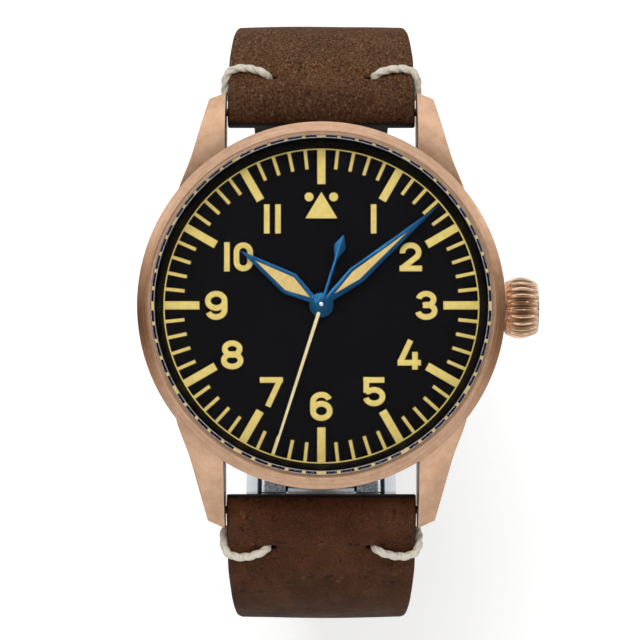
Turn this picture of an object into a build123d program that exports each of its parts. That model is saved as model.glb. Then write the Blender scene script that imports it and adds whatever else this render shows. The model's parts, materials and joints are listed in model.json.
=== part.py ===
from build123d import *
from math import acos, atan2, cos, degrees, hypot, radians, sin, sqrt
import os

# A pilot watch on a leather strap with a steel folding clasp.
# Millimetres, +Z out through the crystal, +Y towards twelve, +X towards the crown.
# The origin is the centre of the case back's outer flat face.

# Movement: everything round it is built outwards from its radius
movement_radius = 12.9
mainplate_bottom_z = 6.1
mainplate_thickness = 1.2
mainplate_top_z = mainplate_bottom_z + mainplate_thickness
bridge_thickness = 0.8
bridge_room = 1.8
bridge_top_z = mainplate_bottom_z - bridge_room
bridge_bottom_z = bridge_top_z - bridge_thickness
bridge_split_y = 0.6
bridge_gap = 0.25
plate_pocket_gap = 0.2
movement_ring_width = 2.1
movement_ring_bottom_z = 2.6
movement_ring_lip = 0.6
motion_room = 0.6

# Clearances that the pieces share
fit_gap = 0.05
running_gap = 0.03
cut_overrun = 1.0

# Case
dial_ledge_width = 1.9
case_wall = 1.65
case_bottom_z = 0.9
case_foot_inset = 1.85
case_foot_rise = 1.9
dial_thickness = 0.4
case_top_rise = 0.5
movement_bore_radius = movement_radius + movement_ring_width
dial_bore_radius = movement_bore_radius + dial_ledge_width
case_radius = dial_bore_radius + case_wall
case_foot_radius = case_radius - case_foot_inset
dial_seat_z = mainplate_top_z + motion_room
dial_top_z = dial_seat_z + dial_thickness
case_top_z = dial_top_z + case_top_rise

# Lugs and spring bars
lug_gap = 20.0
lug_reach = 4.25
lug_tip_slant = 0.8
lug_tip_width = 1.75
lug_shoulder_width = 3.45
lug_shoulder_setback = 7.2
lug_root_angle = 36.25
lug_inner_y = 6.0
lug_sole_setback = 8.8
lug_mid_setback = 3.2
lug_heel_setback = 3.8
lug_sole_drop = 0.9
lug_mid_drop = 2.6
lug_tip_drop = 4.9
lug_heel_drop = 0.6
lug_tip_y = case_radius + lug_reach
bar_setback = 1.9
bar_y = lug_tip_y - bar_setback
bar_rise = 1.5
bar_z = case_bottom_z + bar_rise
bar_radius = 0.75
bar_tip_radius = 0.4
bar_tip_length = 0.8
bar_end_gap = 0.3

# Bezel, crystal and the parts that seal them
bezel_overhang = 0.2
bezel_wall_height = 1.65
bezel_bevel_width = 1.05
bezel_bevel_height = 1.0
bezel_land_width = 0.4
bezel_ledge_thickness = 0.9
crystal_gasket_height = 0.35
crystal_thickness = 1.65
crystal_chamfer_width = 0.5
crystal_chamfer_drop = 0.35
flange_ring_width = 0.6
bezel_radius = case_radius + bezel_overhang
bezel_wall_top_z = case_top_z + bezel_wall_height
bezel_top_z = bezel_wall_top_z + bezel_bevel_height
bezel_bore_radius = bezel_radius - bezel_bevel_width - bezel_land_width
bezel_ledge_radius = dial_bore_radius + running_gap
bezel_ledge_z = case_top_z + bezel_ledge_thickness
crystal_radius = bezel_bore_radius - fit_gap
crystal_bottom_z = bezel_ledge_z + crystal_gasket_height
crystal_top_z = crystal_bottom_z + crystal_thickness
gasket_inner_radius = dial_bore_radius + fit_gap
rehaut_radius = dial_bore_radius - fit_gap
rehaut_inner_radius = rehaut_radius - flange_ring_width
rehaut_foot_radius = rehaut_inner_radius - fit_gap

# Case back
back_flange_inset = 0.5
back_flange_radius = case_foot_radius - back_flange_inset
back_flange_top_z = case_bottom_z - running_gap
back_plug_radius = movement_bore_radius - fit_gap
back_plug_height = 1.03
back_plug_top_z = back_flange_top_z + back_plug_height
back_plug_wall = 1.05
back_recess_radius = back_plug_radius - back_plug_wall
back_skin_thickness = 1.2
back_notch_count = 6
back_notch_width = 3.2
back_notch_depth = 0.9
back_gasket_inset = 0.5
back_gasket_radius = back_flange_radius - back_gasket_inset
back_gasket_width = 0.55
back_gasket_inner_radius = back_gasket_radius - back_gasket_width
back_gasket_height = 0.22

# Crown, its tube and stem
crown_z = 5.4
crown_stand_off = 0.5
crown_start_x = case_radius + crown_stand_off
crown_length = 3.33
crown_radius = 3.17
crown_root_radius = 2.72
crown_rim_radius = 2.78
crown_rim_length = 0.42
crown_rim_edge = 0.25
crown_flute_count = 24
crown_flute_radius = 0.34
crown_flute_depth = 0.26
crown_bore_depth = 2.2
tube_radius = 1.25
tube_inner_radius = 0.55
tube_reach = 1.1
tube_inner_overlap = 0.8
tube_start_x = movement_bore_radius - tube_inner_overlap
stem_radius = 0.5
stem_square = 0.62
stem_depth = 4.7
stem_square_length = 3.4
stem_inner_x = movement_radius - stem_depth
stem_square_end_x = stem_inner_x + stem_square_length
crown_travel = 1.0
crown_gasket_length = 0.6
crown_gasket_width = 0.4
pinion_groove_count = 14
pinion_groove_radius = 0.12

# Dial and what is printed on it
dial_edge_gap = 0.15
dial_radius = dial_bore_radius - dial_edge_gap
dial_hole_radius = 0.75
lume_height = 0.09
track_radius = rehaut_foot_radius - fit_gap
track_width = 0.13
tick_width = 0.38
tick_length = 2.1
hour_bar_width = 0.85
hour_bar_length = 3.7
minute_count = 60
hour_count = 12
numeral_height = 3.05
numeral_stroke = 0.62
numeral_inset = 5.8
numeral_ring_radius = track_radius - numeral_inset
numeral_shift = {2: 0.15, 3: 0.45, 6: -0.05, 9: 0.4, 10: -0.31}
triangle_inset = 4.45
triangle_height = 2.77
triangle_half_width = 1.66
triangle_apex_y = track_radius - triangle_inset
triangle_base_y = triangle_apex_y - triangle_height
dot_radius = 0.48
dot_x = 1.26
dot_drop = 0.55
dot_y = triangle_apex_y - dot_drop

# Where the strokes of the numerals run, as shares of the numeral's height
stroke_share = numeral_stroke / numeral_height
half_share = 1 / 2 - stroke_share / 2
two_radius_share = 0.27
three_upper_radius_share = 0.215
bowl_radius_share = 0.262
eight_upper_radius_share = 0.21
zero_radius_share = 0.235
zero_offset_share = 0.245
ten_spacing_share = 0.33
eleven_spacing_share = 0.192

# Hands
hand_thickness = 0.14
hand_level_gap = 0.26
hour_hand_rise = 0.45
hour_hand_z = dial_top_z + hour_hand_rise
minute_hand_z = hour_hand_z + hand_thickness + hand_level_gap
second_hand_z = minute_hand_z + hand_thickness + hand_level_gap
hour_hand_angle = 303.9
minute_hand_angle = 49.7
second_hand_angle = 197.7
hour_hand_short_of_track = 6.11
hour_hand_length = track_radius - hour_hand_short_of_track
hour_shoulder_y = 3.92
hour_shoulder_half_width = 1.21
hour_neck_y = 1.09
hour_neck_half_width = 0.41
hour_boss_radius = 1.24
hour_lume_start_y = 1.35
hour_lume_tip_gap = 1.87
hour_lume_end_y = hour_hand_length - hour_lume_tip_gap
hour_lume_half_width = 0.8
minute_hand_short_of_track = 0.3
minute_hand_length = track_radius - minute_hand_short_of_track
minute_shoulder_y = 4.65
minute_shoulder_half_width = 0.97
minute_neck_y = 0.9
minute_neck_half_width = 0.38
minute_boss_radius = 1.0
minute_lume_start_y = 1.75
minute_lume_tip_gap = 4.35
minute_lume_end_y = minute_hand_length - minute_lume_tip_gap
minute_lume_half_width = 0.54
second_hand_short_of_track = 0.15
second_hand_length = track_radius - second_hand_short_of_track
second_tip_width = 0.22
second_root_width = 0.36
second_boss_radius = 0.76
second_stem_width = 0.3
second_kite_start = 4.5
second_kite_shoulder = 6.2
second_kite_end = 7.5
second_kite_half_width = 0.65

# Centre stack, from the inside out
second_arbor_radius = 0.1
second_cap_radius = 0.2
second_cap_height = 0.15
centre_tube_bore = 0.13
centre_tube_radius = 0.25
cannon_radius = 0.42
hour_tube_bore = 0.46
hour_tube_radius = 0.62

# Going train: tooth counts, and the module that the whole train is drawn in
centre_teeth = 80
third_pinion_teeth = 10
third_teeth = 75
fourth_pinion_teeth = 10
fourth_teeth = 82
escape_pinion_teeth = 8
barrel_teeth = 84
centre_pinion_teeth = 12
train_module = movement_radius / 129
second_module = train_module * (centre_teeth + third_pinion_teeth) / (third_teeth + fourth_pinion_teeth)
wheel_thickness = 0.16
fourth_wheel_rise = 0.12
third_wheel_rise = 0.55
drum_rise = 0.45
drum_height = 0.6
centre_wheel_drop = 0.35
third_pinion_drop = 0.1
fourth_wheel_z = bridge_top_z + fourth_wheel_rise
third_wheel_z = bridge_top_z + third_wheel_rise
barrel_drum_z = bridge_top_z + drum_rise
barrel_wheel_z = barrel_drum_z + drum_height
centre_wheel_z = mainplate_bottom_z - centre_wheel_drop
third_pinion_top_z = mainplate_bottom_z - third_pinion_drop
third_angle = 225.0
barrel_angle = 75.0
escape_angle = 340.0

# Sizes of the train's small pieces, each a count of modules
jewel_radius = 4.5 * train_module
pivot_radius = 1.5 * train_module
arbor_radius = 2.2 * train_module
pillar_radius = 9 * train_module
barrel_drum_radius = 39.5 * train_module
barrel_arbor_radius = 7 * train_module
escape_radius = 20 * train_module
pallet_distance = 27.5 * train_module
balance_distance = 77 * train_module
balance_radius = 33.5 * train_module
hairspring_radius = 22 * train_module
motion_distance = 30 * train_module

# Jewels, screws, mainspring and escapement
jewel_height = 0.3
screw_head_radius = 0.55
screw_head_height = 0.3
screw_shank_radius = 0.3
screw_slot_width = 0.16
screw_slot_depth = 0.12
barrel_drum_wall = 0.2
spring_turns = 7
spring_thickness = 0.12
spiral_steps = 24
escape_count = 20
escape_wheel_drop = 0.88
escape_wheel_z = mainplate_bottom_z - escape_wheel_drop
escape_tooth_share = 0.2
escape_root_share = 0.8
pallet_span_angle = 58.0
pallet_width = 0.32
pallet_thickness = 0.2
pallet_stone_gap = 0.16
balance_rise = 0.2
balance_z = bridge_top_z + balance_rise
balance_angle = 300.0
balance_rim_width = 0.35
balance_rim_height = 0.35
balance_arm_width = 0.3
balance_hub_radius = 0.5
roller_radius = 0.75
hairspring_rise = 0.13
hairspring_z = balance_z + balance_rim_height + hairspring_rise
hairspring_height = 0.14
hairspring_turns = 6
hairspring_thickness = 0.07

# Motion works under the dial
cannon_teeth = 12
minute_wheel_teeth = 36
minute_pinion_teeth = 10
hour_wheel_teeth = 40
cannon_rise = 0.06
hour_wheel_rise = 0.3
cannon_level_z = mainplate_top_z + cannon_rise
hour_level_z = mainplate_top_z + hour_wheel_rise
motion_angle = 120.0

# Tooth form, as shares of the module and of the pitch
addendum_share = 0.85
dedendum_share = 1.2
tooth_root_share = 0.235
tooth_tip_share = 0.09

# Automatic winding
rotor_bottom_z = 2.1
rotor_plate_height = 0.35
rotor_rim_height = 1.0
rotor_edge_gap = 0.3
rotor_radius = movement_radius - rotor_edge_gap
rotor_rim_width = 2.0
rotor_hub_radius = 2.4
rotor_hole_radius = 1.5
rotor_window_share = 0.42
bearing_radius = 1.45
bearing_stem_radius = 1.1

# Strap, drawn in the plane across the watch: a path of three arcs from the bar to the clasp
strap_heading = 27.0
strap_side_reach = 10.9
strap_side_y = bar_y + strap_side_reach
strap_flank_radius = 30.0
strap_flank_turn = 60.0
strap_thickness = 2.4
lining_thickness = 0.9
strap_fold_radius = 1.65
strap_side_gap = 0.15
strap_width = lug_gap - 2 * strap_side_gap
strap_clasp_width = 16.0
strap_taper_top_z = -2.0
strap_taper_low_z = -36.0
strap_fold_turn = 22.0
stitch_distance = 4.0
stitch_radius = 0.42
stitch_hole_inset = 4.3
stitch_hole_radius = 0.65
stitch_corner_radius = 0.75
stitch_lift = 0.06

# Clasp
clasp_bar_y = 4.5
clasp_bar_radius = 0.6
clasp_ear_thickness = 0.8
clasp_ear_gap = 0.2
clasp_width = strap_clasp_width + 2 * (clasp_ear_thickness + clasp_ear_gap)
clasp_hinge_inset = 12.3
clasp_hinge_y = strap_side_y - clasp_hinge_inset
clasp_hinge_depth = 2.6
clasp_knuckle_radius = 0.9
clasp_knuckle_width = 4.0
clasp_pin_radius = 0.4
clasp_joint_gap = 0.3
wing_gap = 0.3
wing_thickness = 0.9
wing_depth = strap_thickness / 2 + wing_gap
wing_ear_wall = 0.5
base_gap = 0.35
base_thickness = 0.9
base_depth = wing_depth + wing_thickness + base_gap
base_border_width = 2.4
base_window_inset = 6.0
base_window_y = clasp_hinge_y - base_window_inset
lock_half_length = 2.1
lock_width = 9.0
lock_rise = 0.6
button_width = 2.6
button_height = 1.6
button_reach = 1.6
button_proud = 0.5
button_travel = 0.5
button_spring_radius = 0.5
button_spring_bore = 0.3
button_spring_depth = 0.2

pieces = {}


def keep(name, *solids):
    """Files one named piece, made of one or more separate solids."""
    found = [s for item in solids for s in item.solids()]
    pieces[name] = found[0] if len(found) == 1 else Compound(children=found)


def turned(*profile):
    """A solid of revolution about Z from (radius, height) corners."""
    outline = Polyline(*[(r, 0, z) for r, z in profile], close=True)
    return revolve(make_face(outline.edges()), Axis.Z)


def disc(radius, low, high, centre=(0, 0)):
    """An upright cylinder between two heights."""
    place = Pos(centre[0], centre[1], low)
    return place * extrude(Circle(radius), high - low)


def tube(outer, inner, low, high, centre=(0, 0)):
    """An upright tube between two heights."""
    return disc(outer, low, high, centre) - disc(inner, low - cut_overrun, high + cut_overrun, centre)


def slab(x0, x1, y0, y1, z0, z1):
    """A box from its corner values."""
    return Pos((x0 + x1) / 2, (y0 + y1) / 2, (z0 + z1) / 2) * Box(x1 - x0, y1 - y0, z1 - z0)


def rod_x(radius, x0, x1, y, z):
    """A cylinder that lies along X."""
    return Plane(origin=(x0, y, z), z_dir=(1, 0, 0)) * extrude(Circle(radius), x1 - x0)


def polar(radius, angle):
    """A point in plan, by its angle anticlockwise from +X in degrees."""
    return (radius * cos(radians(angle)), radius * sin(radians(angle)))


def plan_prism(points, low, high):
    """An upright prism over a plan outline."""
    face = make_face(Polyline(*points, close=True).edges())
    return Pos(0, 0, low) * extrude(face, high - low)


def side_prism(points, x0, x1):
    """A prism along X over an outline in the plane across the watch, in (y, z)."""
    outline = Polyline(*[(x0, y, z) for y, z in points], close=True)
    return extrude(make_face(outline.edges()), x1 - x0, dir=(1, 0, 0))


def clockwise(angle):
    """A turn about Z by a clock angle, from twelve."""
    return Rot(0, 0, -angle)


def make_lug_blank():
    """One corner lug: its plan outline met with its side outline."""
    gap = lug_gap / 2
    root_x, root_y = polar(case_radius, lug_root_angle)
    sole_y = lug_tip_y - lug_sole_setback
    heel_z = case_bottom_z - lug_heel_drop
    plan = [(gap, lug_inner_y), (gap, lug_tip_y), (gap + lug_tip_width, lug_tip_y - lug_tip_slant),
            (gap + lug_shoulder_width, lug_tip_y - lug_shoulder_setback), (root_x, root_y),
            (root_x, lug_inner_y)]
    side = [(lug_inner_y, case_bottom_z), (lug_inner_y, case_top_z), (sole_y, case_top_z - lug_sole_drop),
            (lug_tip_y - lug_mid_setback, case_top_z - lug_mid_drop), (lug_tip_y, case_top_z - lug_tip_drop),
            (lug_tip_y, case_bottom_z), (lug_tip_y - lug_heel_setback, heel_z), (sole_y, case_bottom_z)]
    return plan_prism(plan, heel_z, case_top_z) & side_prism(side, gap, case_radius)


def make_case():
    """Case middle with four lugs, bored for the movement, the dial and the crown tube."""
    body = turned((0, case_bottom_z), (case_foot_radius, case_bottom_z),
                  (case_radius, case_bottom_z + case_foot_rise), (case_radius, case_top_z), (0, case_top_z))
    lug = make_lug_blank()
    mirrored = mirror(lug, Plane.YZ)
    for blank in (lug, mirrored, mirror(lug, Plane.XZ), mirror(mirrored, Plane.XZ)):
        body += blank
    body -= disc(movement_bore_radius, case_bottom_z - cut_overrun, dial_seat_z)
    body -= disc(dial_bore_radius, dial_seat_z, case_top_z + cut_overrun)
    body -= rod_x(tube_radius, 0, case_radius + cut_overrun, 0, crown_z)
    socket_end = lug_gap / 2 + bar_tip_length + fit_gap
    for side in (-1, 1):
        body -= rod_x(bar_tip_radius + fit_gap, -socket_end, socket_end, side * bar_y, bar_z)
    keep("case_middle", body)


def make_bezel_and_crystal():
    """Bezel, crystal, its gasket and the inner flange ring."""
    bezel = turned((bezel_ledge_radius, case_top_z), (bezel_radius, case_top_z),
                   (bezel_radius, bezel_wall_top_z), (bezel_radius - bezel_bevel_width, bezel_top_z),
                   (bezel_bore_radius, bezel_top_z), (bezel_bore_radius, bezel_ledge_z),
                   (bezel_ledge_radius, bezel_ledge_z))
    keep("bezel", bezel)
    crystal = turned((0, crystal_bottom_z), (crystal_radius, crystal_bottom_z),
                     (crystal_radius, crystal_top_z - crystal_chamfer_drop),
                     (crystal_radius - crystal_chamfer_width, crystal_top_z), (0, crystal_top_z))
    keep("crystal", crystal)
    keep("crystal_gasket", tube(crystal_radius, gasket_inner_radius, bezel_ledge_z, crystal_bottom_z))
    rehaut = turned((rehaut_foot_radius, dial_top_z), (rehaut_radius, dial_top_z),
                    (rehaut_radius, crystal_bottom_z), (rehaut_inner_radius + fit_gap, crystal_bottom_z),
                    (rehaut_inner_radius, dial_top_z + lume_height))
    keep("inner_flange_ring", rehaut)


def make_case_back():
    """Screwed case back with opener notches, and the gasket in its groove."""
    back = turned((0, 0), (back_flange_radius, 0), (back_flange_radius, back_flange_top_z),
                  (back_plug_radius, back_flange_top_z), (back_plug_radius, back_plug_top_z),
                  (back_recess_radius, back_plug_top_z), (back_recess_radius, back_skin_thickness),
                  (0, back_skin_thickness))
    notch = slab(back_flange_radius - back_notch_depth, back_flange_radius + cut_overrun,
                 -back_notch_width / 2, back_notch_width / 2, -cut_overrun, back_flange_top_z / 2)
    for i in range(back_notch_count):
        back -= Rot(0, 0, (i + 1 / 2) * 360 / back_notch_count) * notch
    groove_floor = back_flange_top_z - back_gasket_height
    back -= tube(back_gasket_radius, back_gasket_inner_radius, groove_floor, back_flange_top_z + cut_overrun)
    keep("case_back", back)
    keep("case_back_gasket", tube(back_gasket_radius, back_gasket_inner_radius, groove_floor, case_bottom_z))


def make_crown():
    """Fluted crown, its gasket, the stem, and the tube that it slides on."""
    x0 = crown_start_x
    x1 = crown_start_x + crown_length
    rim_x = x1 - crown_rim_length
    back = Polyline((x0, 0), (x0, crown_root_radius))
    barrel = ThreePointArc((x0, crown_root_radius), ((x0 + rim_x) / 2, crown_radius), (rim_x, crown_rim_radius))
    rim = Polyline((rim_x, crown_rim_radius), (x1 - crown_rim_edge, crown_rim_radius),
                   (x1, crown_rim_radius - crown_rim_edge), (x1, 0), (x0, 0))
    crown = revolve(make_face(back.edges() + barrel.edges() + rim.edges()), Axis.X)
    groove_ring = crown_radius - crown_flute_depth + crown_flute_radius
    for i in range(crown_flute_count):
        y, z = polar(groove_ring, i * 360 / crown_flute_count)
        crown -= rod_x(crown_flute_radius, x0 - cut_overrun, rim_x, y, z)
    crown -= rod_x(tube_radius + fit_gap, x0 - cut_overrun, x0 + crown_bore_depth, 0, 0)
    gasket_x = x0 + crown_gasket_length / 2
    crown -= rod_x(tube_radius + crown_gasket_width, gasket_x, gasket_x + crown_gasket_length, 0, 0)
    crown -= rod_x(stem_radius, x0 - cut_overrun, x0 + crown_bore_depth + crown_gasket_length, 0, 0)
    lift = Pos(0, 0, crown_z)
    keep("crown", lift * crown)
    gasket = rod_x(tube_radius + crown_gasket_width, gasket_x, gasket_x + crown_gasket_length, 0, 0)
    gasket -= rod_x(tube_radius + running_gap, gasket_x - cut_overrun, x1, 0, 0)
    keep("crown_gasket", lift * gasket)
    stem_end = x0 + crown_bore_depth + crown_gasket_length
    stem = rod_x(stem_radius, stem_square_end_x, stem_end, 0, 0)
    stem += slab(stem_inner_x, stem_square_end_x, -stem_square / 2, stem_square / 2, -stem_square / 2,
                 stem_square / 2)
    keep("winding_stem", lift * stem)
    neck = rod_x(tube_radius, tube_start_x, x0 + tube_reach, 0, 0)
    neck -= rod_x(tube_inner_radius, tube_start_x - cut_overrun, x1, 0, 0)
    neck -= Pos(0, 0, -crown_z) * disc(movement_bore_radius, -cut_overrun, case_top_z)
    keep("crown_tube", lift * neck)


def make_pinions_on_stem():
    """Winding pinion and sliding pinion, on the square of the stem."""
    radius = 2 * stem_radius
    length = (stem_square_end_x - stem_inner_x - crown_travel) / 2
    bore = stem_square / 2 + running_gap
    start = stem_inner_x + crown_travel + fit_gap
    for i, name in enumerate(("sliding_pinion", "winding_pinion")):
        x0 = start + i * (length - fit_gap)
        wheel = rod_x(radius, x0, x0 + length - 2 * fit_gap, 0, 0)
        for k in range(pinion_groove_count):
            y, z = polar(radius, k * 360 / pinion_groove_count)
            wheel -= rod_x(pinion_groove_radius, x0 - cut_overrun, x0 + length + cut_overrun, y, z)
        wheel -= slab(x0 - cut_overrun, x0 + length, -bore, bore, -bore, bore)
        keep(name, Pos(0, 0, crown_z) * wheel)


def bar_mark(width, inner, outer, angle):
    """A radial mark on the dial, at a clock angle."""
    mark = slab(-width / 2, width / 2, inner, outer, dial_top_z, dial_top_z + lume_height)
    return clockwise(angle) * mark


def bar_stroke(start, end, lead_share=0.0):
    """A straight stroke between two places in shares of the numeral's height."""
    h = numeral_height
    x0, y0, x1, y1 = start[0] * h, start[1] * h, end[0] * h, end[1] * h
    span = hypot(x1 - x0, y1 - y0)
    length = span * (1 + 2 * lead_share)
    turn = degrees(atan2(y1 - y0, x1 - x0))
    return Pos((x0 + x1) / 2, (y0 + y1) / 2) * Rot(0, 0, turn) * Rectangle(length, numeral_stroke)


def ring_stroke(centre, radius):
    """A closed round stroke; its centre and radius are shares of the numeral's height."""
    h = numeral_height
    half = numeral_stroke / 2
    ring = Circle(radius * h + half) - Circle(radius * h - half)
    return Pos(centre[0] * h, centre[1] * h) * ring


def arc_stroke(centre, radius, start, stop):
    """A part of a round stroke, between two angles."""
    h = numeral_height
    half = numeral_stroke / 2
    return band(centre[0] * h, centre[1] * h, radius * h - half, radius * h + half, start, stop)


def clipped(figure):
    """Cuts a figure off square at the numeral's top and foot."""
    return figure & Rectangle(2 * numeral_height, numeral_height)


def figure_zero():
    """Nought, with straight flanks."""
    r = zero_radius_share
    flank = half_share - r
    figure = arc_stroke((0, flank), r, 0, 180) + arc_stroke((0, -flank), r, 180, 360)
    for x in (-r, r):
        figure += bar_stroke((x, -flank), (x, flank))
    return figure


def figure_one():
    """One, a plain upright bar."""
    return bar_stroke((0, -1 / 2), (0, 1 / 2))


def figure_two():
    """Two: a round top, a slanting stroke and a foot."""
    r = two_radius_share
    top = half_share - r
    exit_angle = -35.0
    end = (r * cos(radians(exit_angle)), top + r * sin(radians(exit_angle)))
    figure = arc_stroke((0, top), r, exit_angle, 172) + bar_stroke(end, (-r, -half_share), stroke_share / 4)
    edge = r + stroke_share / 2
    return clipped(figure + bar_stroke((-edge, -half_share), (edge, -half_share)))


def figure_three():
    """Three: two open bowls that meet at the waist."""
    upper = three_upper_radius_share
    waist = half_share - 2 * upper
    lower = (waist + half_share) / 2
    figure = arc_stroke((0, waist + upper), upper, -90, 165) + arc_stroke((0, waist - lower), lower, -165, 90)
    return figure + bar_stroke((-upper / 2, waist), (upper / 4, waist))


def figure_four():
    """Four: an upright, a cross stroke and a slanting stroke."""
    x = two_radius_share / 2
    foot = -half_share / 2
    figure = bar_stroke((x, -1 / 2), (x, 1 / 2))
    figure += bar_stroke((-half_share * 7 / 8, foot), (half_share * 7 / 8, foot))
    slant = bar_stroke((-half_share * 3 / 4, foot), (x, half_share), stroke_share / 2)
    h = numeral_height
    left_top = Pos(-h + (x + stroke_share / 2) * h, 0) * Rectangle(2 * h, h)
    above = Pos(0, h / 2 + (foot - stroke_share / 2) * h) * Rectangle(2 * h, h)
    return figure + (slant & left_top & above)


def figure_five():
    """Five: a flag, a short upright and an open bowl."""
    r = bowl_radius_share
    low = -half_share + r
    start = 140.0
    x = r * cos(radians(start))
    y = low + r * sin(radians(start))
    figure = arc_stroke((0, low), r, -160, start) + bar_stroke((x, y - stroke_share / 4), (x, half_share))
    return figure + bar_stroke((x - stroke_share / 2, half_share), (r, half_share))


def figure_six():
    """Six: a closed bowl under a slanting stroke."""
    r = bowl_radius_share
    low = -half_share + r
    start = 158.0
    x = r * cos(radians(start))
    y = low + r * sin(radians(start))
    return clipped(ring_stroke((0, low), r) + bar_stroke((x, y), (r / 2, 1 / 2), stroke_share / 4))


def figure_seven():
    """Seven: a top stroke and a slanting one."""
    r = bowl_radius_share
    edge = r + stroke_share / 2
    figure = bar_stroke((-edge, half_share), (edge, half_share))
    slant = bar_stroke((r, half_share), (-r / 3, -1 / 2), stroke_share / 4)
    h = numeral_height
    inside = Pos(-h + edge * h, 0) * Rectangle(2 * h, h)
    return clipped(figure + (slant & inside))


def figure_eight():
    """Eight: two closed bowls that share the waist stroke."""
    upper = eight_upper_radius_share
    waist = half_share - 2 * upper
    lower = (waist + half_share) / 2
    return ring_stroke((0, waist + upper), upper) + ring_stroke((0, waist - lower), lower)


def figure_nine():
    """Nine, which is six turned over."""
    return Rot(0, 0, 180) * figure_six()


def numeral_place(hour, offset_share):
    """Where an hour's figure stands, moved sideways by a share of its height."""
    x, y = polar(numeral_ring_radius + numeral_shift.get(hour, 0), 90 - hour * 360 / hour_count)
    return Pos(x + offset_share * numeral_height, y, dial_top_z)


def make_dial():
    """Dial plate, printed track, hour bars, numerals and the marker at twelve."""
    keep("dial", tube(dial_radius, dial_hole_radius, dial_seat_z, dial_top_z))
    top = dial_top_z + lume_height
    ticks = [tube(track_radius, track_radius - track_width, dial_top_z, top)]
    bar_every = minute_count // hour_count
    outer = track_radius - track_width
    bars = []
    for i in range(minute_count):
        angle = i * 360 / minute_count
        if i % bar_every:
            ticks.append(bar_mark(tick_width, track_radius - tick_length, outer - fit_gap, angle))
        else:
            bars.append(bar_mark(hour_bar_width, track_radius - hour_bar_length, outer - fit_gap, angle))
    keep("minute_track", *ticks)
    single = [figure_one, figure_two, figure_three, figure_four, figure_five, figure_six, figure_seven,
              figure_eight, figure_nine]
    figures = []
    for hour, draw in enumerate(single, start=1):
        figures.append(numeral_place(hour, 0) * extrude(draw(), lume_height))
    figures.append(numeral_place(hour_count - 2, -ten_spacing_share) * extrude(figure_one(), lume_height))
    figures.append(numeral_place(hour_count - 2, zero_offset_share) * extrude(figure_zero(), lume_height))
    for side in (-1, 1):
        figures.append(numeral_place(hour_count - 1, side * eleven_spacing_share)
                       * extrude(figure_one(), lume_height))
    keep("numerals", *figures)
    marker = plan_prism([(0, triangle_apex_y), (triangle_half_width, triangle_base_y),
                         (-triangle_half_width, triangle_base_y)], dial_top_z, top)
    dots = [disc(dot_radius, dial_top_z, top, (side * dot_x, dot_y)) for side in (-1, 1)]
    keep("hour_markers", marker, *dots, *bars)


def kite_outline(length, shoulder_y, shoulder, neck_y, neck):
    """The outline of a sword-shaped hand that points to twelve."""
    return [(-neck, 0), (-neck, neck_y), (-shoulder, shoulder_y), (0, length), (shoulder, shoulder_y),
            (neck, neck_y), (neck, 0)]


def window_outline(start_y, shoulder_y, half_width, end_y):
    """The outline of the lume window in a hand."""
    return [(0, start_y), (-half_width, shoulder_y), (0, end_y), (half_width, shoulder_y)]


def make_hands():
    """Hour and minute hands with lume windows, and the second hand."""
    z0 = hour_hand_z
    z1 = z0 + hand_thickness
    window = plan_prism(window_outline(hour_lume_start_y, hour_shoulder_y, hour_lume_half_width,
                                       hour_lume_end_y), z0, z1)
    hand = plan_prism(kite_outline(hour_hand_length, hour_shoulder_y, hour_shoulder_half_width, hour_neck_y,
                                   hour_neck_half_width), z0, z1)
    hand = hand - window + disc(hour_boss_radius, z0, z1)
    hand -= disc(hour_tube_radius, z0 - cut_overrun, z1 + cut_overrun)
    window -= disc(hour_boss_radius, z0 - cut_overrun, z1 + cut_overrun)
    keep("hour_hand", clockwise(hour_hand_angle) * hand)
    keep("hour_hand_lume", clockwise(hour_hand_angle) * window)
    z0 = minute_hand_z
    z1 = z0 + hand_thickness
    window = plan_prism(window_outline(minute_lume_start_y, minute_shoulder_y, minute_lume_half_width,
                                       minute_lume_end_y), z0, z1)
    hand = plan_prism(kite_outline(minute_hand_length, minute_shoulder_y, minute_shoulder_half_width,
                                   minute_neck_y, minute_neck_half_width), z0, z1)
    hand = hand - window + disc(minute_boss_radius, z0, z1)
    hand -= disc(cannon_radius, z0 - cut_overrun, z1 + cut_overrun)
    keep("minute_hand", clockwise(minute_hand_angle) * hand)
    keep("minute_hand_lume", clockwise(minute_hand_angle) * window)
    z0 = second_hand_z
    z1 = z0 + hand_thickness
    needle = [(-second_root_width / 2, 0), (-second_tip_width / 2, second_hand_length),
              (second_tip_width / 2, second_hand_length), (second_root_width / 2, 0)]
    kite = [(0, -second_kite_start), (second_kite_half_width, -second_kite_shoulder),
            (0, -second_kite_end), (-second_kite_half_width, -second_kite_shoulder)]
    stem_end = (second_kite_start + second_kite_shoulder) / 2
    hand = plan_prism(needle, z0, z1) + plan_prism(kite, z0, z1) + disc(second_boss_radius, z0, z1)
    hand += slab(-second_stem_width / 2, second_stem_width / 2, -stem_end, 0, z0, z1)
    hand -= disc(second_arbor_radius, z0 - cut_overrun, z1 + cut_overrun)
    keep("second_hand", clockwise(second_hand_angle) * hand)


def mesh_phase(line_angle, phase, teeth, other_teeth):
    """The phase that puts another wheel in mesh, given the angle of the line to it."""
    pitch = 360 / teeth
    offset = (phase - line_angle + pitch / 2) % pitch - pitch / 2
    return line_angle + 180 - offset * teeth / other_teeth + 180 / other_teeth


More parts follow.
